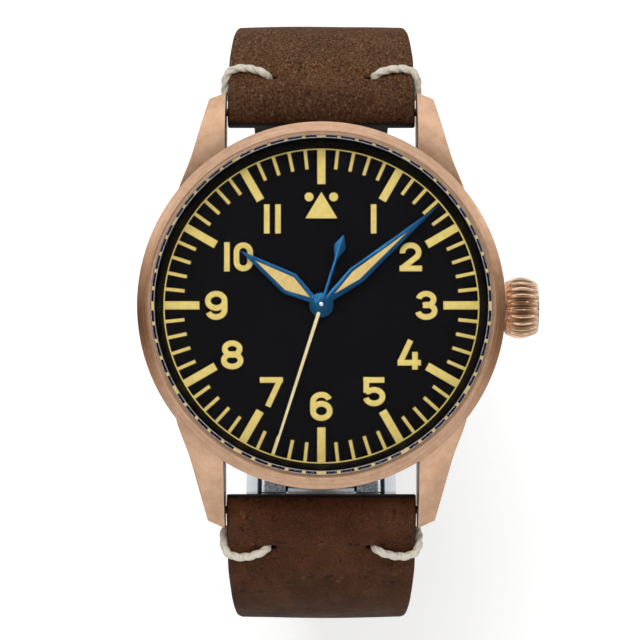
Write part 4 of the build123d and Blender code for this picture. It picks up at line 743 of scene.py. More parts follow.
# %% [markdown]
# ### Crown
# The crown bulges like a barrel, and its flutes are round grooves with soft ridges between them. A real one
# is knurled by a cutter that sinks deepest at the middle of the bulge and runs out towards both ends.
# Cutting twenty-four grooves out of a solid would leave long thin faces, so one slice from ridge to ridge is
# worked out from the groove's radius, and the tree above turns it round the stem.

# %% Sizes of the crown and its grooves
CROWN_AXIS_Z = 5.4
FLUTES = 24
GROOVE_RADIUS = 0.34
GROOVE_DEPTH = 0.3
GROOVE_MIDDLE_X = 20.65
GROOVE_HALF_LENGTH = 1.66
LEAST_GROOVE_DEPTH = 0.02
RIDGE_ROUNDING = 0.09
OUTSIDE_GROOVE = 9.0
CROWN_FOOT_X = 19.05
CROWN_BORE_RADIUS = 1.3
CROWN_SECTION = [(19.05, 2.6), (19.09, 2.68), (19.2, 2.76), (19.6, 2.95), (20.1, 3.1), (20.5, 3.165),
                 (20.9, 3.15), (21.3, 3.06), (21.6, 2.96), (21.8, 2.88), (21.95, 2.82), (22.1, 2.76),
                 (22.2, 2.71), (22.3, 2.62), (22.36, 2.54), (22.38, 2.46)]
CROWN_FACE = [(22.38, 1.9), (22.35, 1.85), (22.35, 0.6), (22.35, 0.0)]


def ring_at(x):
    """The crown's radius over its ridges at a place along the stem, in millimetres."""
    for (x0, r0), (x1, r1) in zip(CROWN_SECTION, CROWN_SECTION[1:]):
        if x <= x1:
            return r0 + (r1 - r0) * max(x - x0, 0) / (x1 - x0)
    return 0.0


def groove_floor(angle, ring, depth):
    """How far from the stem a groove's floor is, at an angle from the groove's middle."""
    centre = ring - depth + GROOVE_RADIUS
    sweep = centre * sin(angle)
    if abs(sweep) >= GROOVE_RADIUS:
        return OUTSIDE_GROOVE
    return centre * cos(angle) - sqrt(GROOVE_RADIUS ** 2 - sweep ** 2)


def blended_low(a, b, width):
    """The lower of two values, with the corner between them rounded over a width."""
    share = max(width - abs(a - b), 0) / width
    return min(a, b) - share * share * width / 4


def fluted_radius(x, ring, angle):
    """The crown's radius at a place along the stem and an angle from a groove's middle."""
    along = (x - GROOVE_MIDDLE_X) / GROOVE_HALF_LENGTH
    depth = GROOVE_DEPTH * max(1 - along ** 2, 0.0) ** 0.6
    if depth <= LEAST_GROOVE_DEPTH:
        return ring
    return blended_low(ring, groove_floor(angle, ring, depth), RIDGE_ROUNDING)


print("the crown is", 2 * max(ring for x, ring in CROWN_SECTION), "mm across")

# %% [markdown]
# ### The crown's bronze
# It is the case's alloy, but polished. The colour follows the depth of each point: pale on the ridges and
# dark brown on the floor of a groove. That is partly polish and tarnish, because neither a polishing wheel
# nor a thumb reaches a groove's floor, and partly a painted highlight on the ridges and painted shade in the
# grooves. The mesh tells how deep each point lies.

# %% Bronze of the crown
crown_bronze, tree, shader = new_material("crown_bronze")
groove = add(tree, "ShaderNodeAttribute", {"attribute_name": "groove"}).outputs["Fac"]
# Painted light mixed with tarnish: a pale painted highlight on the ridges, dark brown groove floors partly
# painted shade.
tree.links.new(ramp(tree, groove, [(0.15, "#FFDDC0"), (0.5, "#D6AB88"), (0.95, "#664732")]),
               shader.inputs["Base Color"])
shader.inputs["Metallic"].default_value = 1.0
grit = add(tree, "ShaderNodeTexNoise", values={"Scale": 1 / (0.25 * MM), "Detail": 2.0},
           links={"Vector": object_place(tree)})
gloss = add(tree, "ShaderNodeMapRange", values={"To Min": 0.08, "To Max": 0.18},
            links={"Value": grit.outputs["Fac"]})
tree.links.new(gloss.outputs["Result"], shader.inputs["Roughness"])
print("made", crown_bronze.name)

# %% One slice, turned round the stem
SLICE_STEPS = 14
build = bmesh.new()
columns = []
for j in range(SLICE_STEPS + 1):
    angle = (j / SLICE_STEPS - 0.5) * 2 * pi / FLUTES
    places = [(CROWN_FOOT_X, CROWN_BORE_RADIUS)]
    places += [(x, fluted_radius(x, ring, angle)) for x, ring in CROWN_SECTION]
    places += CROWN_FACE
    columns.append([build.verts.new((x * MM, radius * MM * cos(angle), radius * MM * sin(angle)))
                    for x, radius in places])
for a, b in zip(columns, columns[1:]):
    for k in range(len(a) - 1):
        build.faces.new((a[k], b[k], b[k + 1], a[k + 1]))
bmesh.ops.remove_doubles(build, verts=build.verts[:], dist=1e-7)
slice_mesh = bpy.data.meshes.new("crown_slice")
build.to_mesh(slice_mesh)
build.free()
crown_mesh = from_nodes("crown_fluted", slice_mesh, copies_round,
                        {"Count": FLUTES, "Axis": (1, 0, 0), "Material": crown_bronze, "Weld": 2e-6})
print("a slice has", len(slice_mesh.polygons), "faces, the crown", len(crown_mesh.polygons))

# %% Depth of each point, and the finished crown
depths = []
for point in crown_mesh.vertices:
    spot = point.co / MM
    sunk = ring_at(spot.x) - hypot(spot.y, spot.z)
    depths.append(min(max(sunk / GROOVE_DEPTH, 0.0), 1.0) if 19.06 < spot.x < 22.2 else 0.0)
crown_mesh.attributes.new("groove", "FLOAT", "POINT").data.foreach_set("value", depths)
crown_mesh.transform(Matrix.Translation((0, 0, CROWN_AXIS_Z * MM)))
build = bmesh.new()
build.from_mesh(crown_mesh)
bmesh.ops.recalc_face_normals(build, faces=build.faces[:])
build.to_mesh(crown_mesh)
build.free()
placed("crown_fluted", crown_mesh, crown_bronze, "crown", ["crown"], sharp=40)

# %% [markdown]
# ## Dial
# The dial is a brass plate, lacquered matt black. The CAD disc already has the right shape, so it only gets
# its lacquer: nearly black, with a grain so fine that it just takes the mirror off.

# %% Dial lacquer
lacquer, tree, shader = new_material("matt_black_lacquer")
grain = add(tree, "ShaderNodeTexNoise", values={"Scale": 1 / (0.15 * MM), "Detail": 3.0, "Roughness": 0.7},
            links={"Vector": object_place(tree)})
tree.links.new(ramp(tree, grain.outputs["Fac"], [(0.3, "#060506"), (0.7, "#0A090A")]),
               shader.inputs["Base Color"])
shader.inputs["Roughness"].default_value = 0.62
shader.inputs["Specular IOR Level"].default_value = 0.06
bump(tree, shader, grain.outputs["Fac"], 0.003 * MM)
nodes["dial"].data.materials.clear()
nodes["dial"].data.materials.append(lacquer)
print("made", lacquer.name)

# %% [markdown]
# ### Luminous paint
# The marks are thick strokes of luminous paint: cream by day and slightly raised. Down their steep sides the
# colour turns a deeper orange-brown, a painted shade that follows how steep the surface is. A bump can't give
# that, so each mark really is domed. The dial, the two broad hands and the thin needle differ a little in
# tone.

# %% Luminous paint
def luminous(name, pale, deep, edge):
    """Luminous paint: pale on a mark's crown, painted shade in a deeper colour down its sides, faintly
    mottled.
    """
    material, tree, shader = new_material(name)
    place = object_place(tree)
    mottle = add(tree, "ShaderNodeTexNoise", values={"Scale": 1 / (0.5 * MM), "Detail": 2.0},
                 links={"Vector": place})
    body = ramp(tree, mottle.outputs["Fac"], [(0.3, pale), (0.7, deep)])
    geometry = add(tree, "ShaderNodeNewGeometry")
    upright = add(tree, "ShaderNodeSeparateXYZ", links={0: geometry.outputs["Normal"]}).outputs["Z"]
    unshaded_top_share = add(tree, "ShaderNodeMapRange", values={"From Min": 0.55, "From Max": 0.97},
                links={"Value": upright})
    # Painted shade: the steeper the surface, the more of the deeper colour it gets.
    tone = add(tree, "ShaderNodeMix", {"data_type": "RGBA"}, {6: colour(edge)},
               {0: unshaded_top_share.outputs["Result"], 7: body})
    tree.links.new(tone.outputs[2], shader.inputs["Base Color"])
    shader.inputs["Roughness"].default_value = 0.55
    grit = add(tree, "ShaderNodeTexNoise", values={"Scale": 1 / (0.06 * MM), "Detail": 1.0},
               links={"Vector": place})
    bump(tree, shader, grit.outputs["Fac"], 0.002 * MM)
    return material


# The third colour of each paint is its painted shade on the sides of the marks.
lume_yellow = luminous("luminous_paint_on_dial", "#F7E28A", "#EDD476", "#B0813F")
lume_cream = luminous("luminous_paint_in_hands", "#F0D58C", "#E6C67C", "#B78C4E")
lume_needle = luminous("luminous_paint_on_needle", "#FBEBBE", "#F3DEA6", "#C79F66")
print("made", lume_yellow.name, lume_cream.name, lume_needle.name)

# %% [markdown]
# ### Minute track and hour bars
# Every minute has a thin bar, every hour a broad one, and a thin ring joins their outer ends. One bar that
# points to twelve is modelled for each kind, and the tree turns it round the dial. Twelve o'clock also has a
# triangle with two dots, so that a pilot finds it in the dark.

# %% One domed bar
DIAL_TOP = 8.3
LUME_HEIGHT = 0.09
TRACK_RADIUS = 16.15
MARK_END = 16.12
MINUTE_LENGTH = 2.1
HOUR_LENGTH = 3.7
BAR_ROUNDING = 0.05


def domed_bar(width, inner, outer):
    """One radial mark that points to twelve, with a softly domed top."""
    half = width / 2
    profile = [(-half, 0.0), (-half, 0.45), (-half * 0.86, 0.8), (-half * 0.5, 0.97), (0.0, 1.0),
               (half * 0.5, 0.97), (half * 0.86, 0.8), (half, 0.45), (half, 0.0)]
    rows = []
    for y, share in ((inner, 0.45), (inner + BAR_ROUNDING, 0.85), (inner + 2.5 * BAR_ROUNDING, 1.0),
                     (outer - 2.5 * BAR_ROUNDING, 1.0), (outer - BAR_ROUNDING, 0.92), (outer, 0.6)):
        rows.append([(x * MM, y * MM, (DIAL_TOP + LUME_HEIGHT * up * share) * MM) for x, up in profile])
    build = bmesh.new()
    skin_rows(build, rows)
    bmesh.ops.recalc_face_normals(build, faces=build.faces[:])
    mesh = bpy.data.meshes.new("mark")
    build.to_mesh(mesh)
    build.free()
    return mesh


print("minute bars are", MINUTE_LENGTH, "mm long, hour bars", HOUR_LENGTH, "mm")

# %% Minute track
minute_bar = domed_bar(0.38, TRACK_RADIUS - MINUTE_LENGTH, MARK_END)
minute_marks = from_nodes("minute_marks", minute_bar, copies_round,
                          {"Count": 60, "Leave Out Every": 5, "Material": lume_yellow, "Weld": 0.0})
build = bmesh.new()
build.from_mesh(minute_marks)
track = bmesh.new()
lathe(track, soft_corners([(r * MM, (DIAL_TOP + z) * MM) for r, z in
                           ((16.01, 0.0), (16.16, 0.0), (16.16, 0.08), (16.01, 0.08))], 0.03 * MM), FINE_TURN)
take_in(build, track)
piece("minute_marks", build, lume_yellow, "case", ["minute_track"], sharp=60)

# %% Hour bars, triangle and dots
DOT_X = 1.26
DOT_Y = 11.15
DOT_RADIUS = 0.48
DOT_STEPS = 28
ISLAND_STEPS = ((0.0, 0.0), (0.0, 0.5), (0.045, 0.85), (0.12, 1.0))


def domed_island(build, outline):
    """A raised patch of paint over an outline in millimetres: its sides step inwards as they rise."""
    count = len(outline)
    centre = Vector((sum(p[0] for p in outline) / count, sum(p[1] for p in outline) / count))
    rings = []
    for inset, lift in ISLAND_STEPS:
        ring = []
        for i, corner in enumerate(outline):
            here = Vector(corner)
            a = (here - Vector(outline[i - 1])).normalized()
            b = (Vector(outline[(i + 1) % count]) - here).normalized()
            inward = Vector((-(a + b).y, (a + b).x))
            if inward.length < 1e-6:
                inward = centre - here
            inward.normalize()
            if inward.dot(centre - here) < 0:
                inward = -inward
            narrow = max(abs(Vector((-a.y, a.x)).dot(inward)), 0.35)
            spot = here + inward * inset / narrow
            ring.append(build.verts.new((spot.x * MM, spot.y * MM, (DIAL_TOP + LUME_HEIGHT * lift) * MM)))
        rings.append(ring)
    for a, b in zip(rings, rings[1:]):
        for k in range(count):
            n = (k + 1) % count
            build.faces.new((a[k], a[n], b[n], b[k]))
    build.faces.new(rings[-1])
    build.faces.new(rings[0][::-1])


hour_bar = domed_bar(0.85, TRACK_RADIUS - HOUR_LENGTH, MARK_END)
hour_bars = from_nodes("hour_bars", hour_bar, copies_round,
                       {"Count": 12, "Material": lume_yellow, "Weld": 0.0})
build = bmesh.new()
build.from_mesh(hour_bars)
domed_island(build, [(0.0, 11.7), (-1.66, 8.93), (1.66, 8.93)])
dot_turns = [2 * pi * k / DOT_STEPS for k in range(DOT_STEPS)]
for side in (-1, 1):
    domed_island(build, [(side * DOT_X + DOT_RADIUS * cos(turn), DOT_Y + DOT_RADIUS * sin(turn))
                         for turn in dot_turns])
bmesh.ops.recalc_face_normals(build, faces=build.faces[:])
piece("hour_marks", build, lume_yellow, "case", ["hour_markers"], sharp=60)

# %% [markdown]
# ### Numerals
# The figures are painted with strokes of one width, like lettering done with a flat pen. So each figure is a
# few middle lines, made of straight runs and parts of ellipses, and one domed stroke is drawn along each
# line. Two strokes that meet just run into each other, as paint does.

# %% Strokes for figures
FIGURE_HEIGHT = 3.0
STROKE = 0.61
REACH = (FIGURE_HEIGHT - STROKE) / 2
SIDE = 0.86
BOW_STEPS = 22


def bow(cx, cy, rx, ry, start, end):
    """Part of an ellipse as a list of places; angles in degrees, against the clock."""
    angles = [radians(start + (end - start) * k / BOW_STEPS) for k in range(BOW_STEPS + 1)]
    return [(cx + rx * cos(angle), cy + ry * sin(angle)) for angle in angles]


def upper_bowl(start, end):
    """The smaller bowl of a three or an eight."""
    return bow(0, 0.6, 0.76, REACH - 0.6, start, end)


def lower_bowl(start, end):
    """The larger bowl of a three or an eight."""
    return bow(0, -0.56, SIDE, REACH - 0.56, start, end)


def six():
    """A bowl with a stem that curves over it."""
    stem = [(-SIDE, -0.46)] + bow(0, 0.44, SIDE, REACH - 0.44, 180, 22)
    return [bow(0, -0.46, SIDE, REACH - 0.46, 0, 360), stem]


def figure(digit):
    """The middle lines of one figure, round its own centre, in millimetres."""
    high = FIGURE_HEIGHT / 2
    if digit == 0:
        return [bow(0, 0.49, 0.7, REACH - 0.49, 0, 180) + bow(0, -0.49, 0.7, REACH - 0.49, 180, 360)
                + [(0.7, 0.49)]]
    if digit == 1:
        return [[(0, high), (0, -high)]]
    if digit == 2:
        return [bow(0, 0.46, 0.83, REACH - 0.46, 188, -38) + [(-0.78, -1.1)],
                [(-1.13, -REACH), (1.17, -REACH)]]
    if digit == 3:
        return [upper_bowl(172, -90) + [(-0.34, 0.01)], [(-0.34, 0.01)] + lower_bowl(90, -170)]
    if digit == 4:
        return [[(0.17, high), (-0.93, -0.8)], [(-1.18, -0.8), (1.21, -0.8)], [(0.6, 0.3), (0.6, -high)]]
    if digit == 5:
        return [[(-1.1, REACH), (1.05, REACH)], [(-0.8, high), (-0.8, -0.1)],
                [(-0.8, 0.04)] + bow(0, -0.5, SIDE, REACH - 0.5, 132, -168)]
    if digit == 6:
        return six()
    if digit == 7:
        return [[(-1.18, REACH), (1.18, REACH)], [(0.93, high - 0.2), (-0.36, -high)]]
    if digit == 8:
        return [upper_bowl(0, 360), lower_bowl(0, 360)]
    return [[(-x, -y) for x, y in line] for line in six()]


print("figure 8 is drawn with", len(figure(8)), "strokes, figure 4 with", len(figure(4)))

# %% A domed stroke along a line
def draw_stroke(build, line, centre):
    """A domed stroke of paint along a line round a centre."""
    half = STROKE / 2
    profile = [(-half, 0.0), (-half, 0.5), (-half * 0.87, 0.83), (-half * 0.5, 0.98), (0.0, 1.0),
               (half * 0.5, 0.98), (half * 0.87, 0.83), (half, 0.5), (half, 0.0)]
    closed = hypot(line[0][0] - line[-1][0], line[0][1] - line[-1][1]) < 1e-6
    spots = [Vector(p) for p in (line[:-1] if closed else line)]
    count = len(spots)
    rows = []
    for i, here in enumerate(spots):
        before = spots[i - 1] if closed or i > 0 else 2 * here - spots[1]
        after = spots[(i + 1) % count] if closed or i < count - 1 else 2 * here - spots[-2]
        into, out = (here - before).normalized(), (after - here).normalized()
        run = (into + out).normalized()
        side = Vector((run.y, -run.x)) / max(abs(run.dot(out)), 0.6)
        rows.append([((here.x + centre[0] + side.x * a) * MM, (here.y + centre[1] + side.y * a) * MM,
                      (DIAL_TOP + LUME_HEIGHT * up) * MM) for a, up in profile])
    if closed:
        rows.append(rows[0])
    skin_rows(build, rows, close_ends=not closed)


print("strokes are", STROKE, "mm wide")

# %% Numerals on the dial
NUMERALS = [(((1, 0.0),), 5.36, 8.88), (((2, 0.0),), 9.13, 4.98), (((3, 0.0),), 10.72, 0.0),
            (((4, 0.0),), 8.95, -5.07), (((5, 0.0),), 5.38, -8.83), (((6, 0.0),), 0.0, -10.33),
            (((7, 0.0),), -5.1, -8.83), (((8, 0.0),), -9.1, -5.07), (((9, 0.0),), -10.75, 0.0),
            (((1, -1.21), (0, 0.47)), -8.46, 4.98), (((1, -0.575), (1, 0.575)), -5.02, 8.88)]
build = bmesh.new()
for digits, x, y in NUMERALS:
    for digit, offset in digits:
        for line in figure(digit):
            draw_stroke(build, line, (x + offset, y))
bmesh.ops.remove_doubles(build, verts=build.verts[:], dist=1e-8)
bmesh.ops.recalc_face_normals(build, faces=build.faces[:])
piece("painted_numerals", build, lume_yellow, "case", ["numerals"], sharp=60)

# %% [markdown]
# ## Machined pieces
# Many pieces below only lack what a file or a tumbling barrel does to a real one. A CAD mesh is loose
# triangles with knife edges, so a copy is joined up, its flat faces are made whole again, and a Bevel
# modifier rounds its edges by a few hundredths of a millimetre, or by a tenth on the clasp.

# %% Softened copies of CAD pieces
BEVEL_STEPS = 2
BEVEL_ANGLE = 28
SHARP_ANGLE = 35
FLAT_ANGLE = 1.0


def softened(name, node, material, body, width, shape=None):
    """A copy of a CAD piece with its edges rounded, and reshaped first if asked."""
    build = bmesh.new()
    build.from_mesh(nodes[node].data)
    bmesh.ops.remove_doubles(build, verts=build.verts[:], dist=2e-6)
    bmesh.ops.dissolve_limit(build, angle_limit=radians(FLAT_ANGLE), verts=build.verts[:],
                             edges=build.edges[:])
    if shape:
        shape(build)
    mesh = bpy.data.meshes.new(name)
    build.to_mesh(mesh)
    build.free()
    holder = bpy.data.objects.new(name, mesh)
    bpy.context.scene.collection.objects.link(holder)
    edge = holder.modifiers.new("broken_edges", "BEVEL")
    edge.width = width * MM
    edge.segments = BEVEL_STEPS
    edge.limit_method = "ANGLE"
    edge.angle_limit = radians(BEVEL_ANGLE)
    edge.use_clamp_overlap = True
    result = bpy.data.meshes.new_from_object(holder.evaluated_get(bpy.context.evaluated_depsgraph_get()))
    bpy.data.objects.remove(holder)
    result.name = name
    return placed(name, result, material, body, [node], SHARP_ANGLE)


print("edges turning more than", BEVEL_ANGLE, "degrees are rounded")

# %% [markdown]
# ## Hands
# The hands are steel, heated until the oxide on it turns blue, then filled with luminous paint. The oxide is
# a very thin clear layer, so the metal keeps some gloss under the colour. The needle of the second hand is
# painted cream from the boss to its tip, and the counterweight stays blue. A bright steel pin shows in the
# middle.

# %% Blued steel hands
blued, tree, shader = new_material("heat_blued_steel")
patch = add(tree, "ShaderNodeTexNoise", values={"Scale": 1 / (2.5 * MM), "Detail": 2.0},
            links={"Vector": object_place(tree)})
tree.links.new(ramp(tree, patch.outputs["Fac"], [(0.3, "#103B5C"), (0.7, "#15476A")]),
               shader.inputs["Base Color"])
shader.inputs["Metallic"].default_value = 0.75
shader.inputs["Roughness"].default_value = 0.3
shader.inputs["Specular IOR Level"].default_value = 0.2
softened("hour_hand_frame", "hour_hand", blued, "hours", width=0.045)
softened("minute_hand_frame", "minute_hand", blued, "minutes", width=0.045)
softened("second_hand_frame", "second_hand", blued, "seconds", width=0.035)
softened("hour_hand_paint", "hour_hand_lume", lume_cream, "hours", width=0.04)
softened("minute_hand_paint", "minute_hand_lume", lume_cream, "minutes", width=0.04)

# %% Paint on the needle
SECOND_HAND_ANGLE = 197.7
NEEDLE_BASE = 9.68
NEEDLE_ROWS = ((0.82, 0.1, 0.01), (0.9, 0.175, 0.035), (8.0, 0.15, 0.035), (15.9, 0.115, 0.035),
               (15.98, 0.06, 0.01))
rows = []
for y, half, rise in NEEDLE_ROWS:
    profile = ((-half, 0.0), (-half, rise * 0.7), (-half * 0.5, rise), (half * 0.5, rise), (half, rise * 0.7),
               (half, 0.0))
    rows.append([(x * MM, y * MM, (NEEDLE_BASE + z) * MM) for x, z in profile])
build = bmesh.new()
skin_rows(build, rows)
bmesh.ops.recalc_face_normals(build, faces=build.faces[:])
bmesh.ops.rotate(build, verts=build.verts[:], cent=(0, 0, 0),
                 matrix=Matrix.Rotation(-radians(SECOND_HAND_ANGLE), 3, "Z"))
piece("second_needle_paint", build, lume_needle, "seconds", (), sharp=60)

# %% [markdown]
# ## Leather
# The strap is one thick piece of leather on each side, folded round the spring bar and stitched back to
# itself. Its middle line lies in the plane across the watch: three arcs that run from the bar down round the
# wrist to the clasp. The mesh is a row of sections along that line. Each section is a rectangle with soft
# corners, and the outer face swells over the fold and dips at the stitches, where the thread draws the
# leather in.

# %% The strap's middle line
ARCS = [(11.837, -15.387, 19.963, 63.0, 0.0), (1.8, -15.387, 30.0, 0.0, -60.0),
        (0.0, -12.2695, 33.6, -60.0, -82.304)]
PATH = sum(radius * radians(first - last) for _, _, radius, first, last in ARCS)


def path_place(distance, height=0.0):
    """The (y, z) of a point at a distance along the line and a height outside it."""
    left = distance
    for i, (cy, cz, radius, first, last) in enumerate(ARCS):
        length = radius * radians(first - last)
        if left <= length or i == len(ARCS) - 1:
            angle = radians(first) - left / radius
            return cy + (radius + height) * cos(angle), cz + (radius + height) * sin(angle)
        left -= length


def half_width(z):
    """Half of the strap's width at a height: it narrows below the case."""
    return 9.85 - 1.85 * min(max((-2.0 - z) / 34.0, 0.0), 1.0)


def smooth(x, low, high):
    """A soft step from 0 at the low place to 1 at the high place."""
    t = min(max((x - low) / (high - low), 0.0), 1.0)
    return t * t * (3 - 2 * t)


print("each strap half is", round(PATH, 1), "mm long")

# %% Heights of the leather's faces
HALF_THICKNESS = 1.2
FOLD_RADIUS = 1.65
LINING_TOP = -0.3
LINING_FROM = 7.67
LINING_TO = PATH - 3.22
STITCH_AT = 4.0
THREAD_INSET = 4.3
HOLE_INSET = 4.72
HOLE_HALF_WIDTH = 0.5
HOLE_HALF_LENGTH = 0.3
HOLE_DEPTH = 0.9
EDGE_ROUNDING = 0.45


def hole_share(distance, x, half):
    """How deep a stitch's punched hole is at a place on the outer face: 1 in its middle."""
    if not 2 < distance < 6:
        return 0.0
    across = (abs(x) - half + HOLE_INSET) / HOLE_HALF_WIDTH
    return exp(-across ** 2 - ((distance - STITCH_AT) / HOLE_HALF_LENGTH) ** 2)


def outer_height(distance, x, half):
    """The height of the outer face, with its swelling and creases."""
    share = x / half
    if distance < 0:
        base = sqrt(max(FOLD_RADIUS ** 2 - distance ** 2, 0.0))
    elif distance > PATH:
        base = sqrt(max(HALF_THICKNESS ** 2 - (distance - PATH) ** 2, 0.0))
    else:
        base = HALF_THICKNESS + (FOLD_RADIUS - HALF_THICKNESS) * exp(-(distance / 2.6) ** 2)
    inside = smooth(distance, -0.8, 1.0) * (1 - smooth(distance, PATH - 4, PATH))
    near_thread = exp(-((abs(x) - half + THREAD_INSET) / 1.1) ** 2)
    crease = -0.16 * exp(-((distance - STITCH_AT) / 0.5) ** 2) * (1.0 + 0.8 * near_thread)
    after = 0.12 * exp(-((distance - 6.2) / 1.3) ** 2)
    crown = 0.14 * (1 - share ** 2)
    wave = 0.045 * sin(distance * 0.9 + share * 2.2) * sin(distance * 0.37 + 1.3 + 2 * share)
    return base + inside * (crease + after + crown + wave) - HOLE_DEPTH * hole_share(distance, x, half)


def inner_height(distance):
    """The height of the inner face: it is set back where the lining lies."""
    if distance < 0:
        return -sqrt(max(FOLD_RADIUS ** 2 - distance ** 2, 0.0))
    if distance > PATH:
        return -sqrt(max(HALF_THICKNESS ** 2 - (distance - PATH) ** 2, 0.0))
    back = smooth(distance, LINING_FROM - 0.15, LINING_FROM) - smooth(distance, LINING_TO, LINING_TO + 0.15)
    fold = (FOLD_RADIUS - HALF_THICKNESS) * exp(-(distance / 1.4) ** 2)
    return -HALF_THICKNESS - fold + (LINING_TOP + HALF_THICKNESS) * back


print("the leather is", 2 * HALF_THICKNESS, "mm thick")

# %% One section of a strap half
def strap_section(distance, columns):
    """One closed section of (x, height, darkening) points: 1 on dyed edges, painted shade in the holes."""
    half = half_width(path_place(distance)[1])
    low = inner_height(distance)
    high = outer_height(distance, half, half)
    top_corner = min(EDGE_ROUNDING, (high - low) * 0.47)
    low_corner = min(EDGE_ROUNDING * 0.6, (high - low) * 0.47)
    points = []
    # The outer face, darkened in the stitch holes as painted shade.
    for share in columns:
        x = share * (half - top_corner)
        points.append((x, outer_height(distance, x, half), min(1.5 * hole_share(distance, x, half), 1.0)))
    right = []
    for k in range(1, 7):
        angle = radians(90 - 15 * k)
        edge_dye_and_painted_shade = min((k / 5) ** 1.5, 1.0)
        right.append((half - top_corner * (1 - cos(angle)), high - top_corner * (1 - sin(angle)), edge_dye_and_painted_shade))
    for k in range(6):
        angle = radians(-18 * k)
        right.append((half - low_corner * (1 - cos(angle)), low + low_corner * (1 + sin(angle)), 1.0))
    points += right
    points += [(share * (half - low_corner), low, 0.3) for share in (0.6, 0.2, -0.2, -0.6)]
    points += [(-x, h, edge_dye_and_painted_shade) for x, h, edge_dye_and_painted_shade in right[::-1]]
    return points


print("a leather section has", len(strap_section(10.0, [0.0])) - 1, "points besides the outer face")

# %% [markdown]
# ### Skinning the strap
# A strap half could be one bent box, but then its pattern would stretch where it folds. Here each point also
# keeps its place on the flat hide, before bending, so that the leather's grain keeps one size everywhere.
# The sections lie close together where the leather folds and where the thread pulls it in, and wide apart on
# the plain run.

# %% Skinning a strap half
LEATHER_COLUMNS = 84
LINING_ROWS = 60
LINING_INSET = 0.05


def strap_distances():
    """Where the sections lie: close together at the ends, the fold and the stitch."""
    places = [-FOLD_RADIUS * cos(radians(5 + 85 * k / 9)) for k in range(10)]
    places += [0.2 * k for k in range(1, 41)]
    places += [8.0 + 0.75 * k for k in range(1, int((PATH - 9.5) / 0.75))]
    places += [PATH - 1.2 + 0.3 * k for k in range(4)]
    places += [PATH + HALF_THICKNESS * sin(radians(17 * k)) for k in range(1, 6)]
    return sorted(places)


def sewn_mesh(name, sections, side):
    """Skins (distance, section) pairs; each point also keeps its flat place on the hide and its darkening."""
    build = bmesh.new()
    rows, flat, edge_dye_and_painted_shade = [], [], []
    for distance, section in sections:
        row = []
        for x, height, waxed in section:
            y, z = path_place(distance, height)
            row.append((x * MM, side * y * MM, z * MM))
            flat.append((x * MM, distance * MM, height * MM))
            edge_dye_and_painted_shade.append(waxed)
        rows.append(row)
    skin_rows(build, rows)
    bmesh.ops.recalc_face_normals(build, faces=build.faces[:])
    mesh = bpy.data.meshes.new(name)
    build.to_mesh(mesh)
    build.free()
    place = mesh.attributes.new("hide_place", "FLOAT_VECTOR", "POINT")
    place.data.foreach_set("vector", [value for spot in flat for value in spot])
    mesh.attributes.new("edge_dye_and_painted_shade", "FLOAT", "POINT").data.foreach_set("value", edge_dye_and_painted_shade)
    return mesh


def leather_mesh(name, side):
    """The outer leather of one strap half."""
    columns = [2 * k / LEATHER_COLUMNS - 1 for k in range(LEATHER_COLUMNS + 1)]
    sections = []
    for distance in strap_distances():
        section = strap_section(distance, columns)
        # Painted shade: the tip of the fold round the bar is darkened as dark as a dyed edge.
        painted_fold_tip_shade = smooth(-distance, 1.52, 1.64)
        sections.append((distance, [(x, h, max(w, painted_fold_tip_shade)) for x, h, w in section]))
    return sewn_mesh(name, sections, side)


def lining_mesh(name, side):
    """The lining of one strap half."""
    sections = []
    for k in range(LINING_ROWS + 1):
        distance = LINING_FROM + (LINING_TO - LINING_FROM) * k / LINING_ROWS
        half = half_width(path_place(distance)[1]) - LINING_INSET
        loop = rounded_box_loop(-half, half, -HALF_THICKNESS, LINING_TOP, 0.2)
        sections.append((distance, [(x, h, 0.0) for x, h in loop]))
    return sewn_mesh(name, sections, side)


print("each half has", len(strap_distances()), "sections")

# %% [markdown]
# ### Leather materials
# Leather is never one brown. Dye sinks in unevenly, pores stay dark, and handling polishes the high places.
# So each leather is a base of cloudy tones with other tones laid over it, each by a noise of its own size.
# The patterns run over the flattened hide, so they aren't stretched where the strap bends. The cut edges are
# dyed and waxed, nearly black. The stitches' holes and the tip of the fold round the bar are painted as dark,
# as painted shade.

# %% Layers of a leather
def hide_tree(name):
    """A leather material with the flat place on the hide, and the darkening of dyed edges and painted shade.
    """
    material, tree, shader = new_material(name)
    place = add(tree, "ShaderNodeAttribute", {"attribute_name": "hide_place"}).outputs["Vector"]
    edge_dye_and_painted_shade = add(tree, "ShaderNodeAttribute", {"attribute_name": "edge_dye_and_painted_shade"}).outputs["Fac"]
    return material, tree, shader, place, edge_dye_and_painted_shade


def noise(tree, place, step, detail=2.0, rough=0.5, stretch=(1, 1, 1)):
    """Noise whose blotches are about one step wide."""
    scaled = add(tree, "ShaderNodeVectorMath", {"operation": "MULTIPLY"}, {1: stretch}, {0: place})
    return add(tree, "ShaderNodeTexNoise", values={"Scale": 1 / step, "Detail": detail, "Roughness": rough},
               links={"Vector": scaled.outputs[0]}).outputs["Fac"]


def stops(tree, value, low, high):
    """A value stretched so that the low place gives 0 and the high place gives 1."""
    return add(tree, "ShaderNodeMapRange", values={"From Min": low, "From Max": high},
               links={"Value": value}).outputs["Result"]


def overlaid(tree, share, under, over_colour, strength=1.0):
    """A colour laid over another one where a share says so."""
    part = add(tree, "ShaderNodeMath", {"operation": "MULTIPLY", "use_clamp": True}, {1: strength},
               {0: share})
    return add(tree, "ShaderNodeMix", {"data_type": "RGBA"}, {7: colour(over_colour)},
               {0: part.outputs[0], 6: under}).outputs[2]


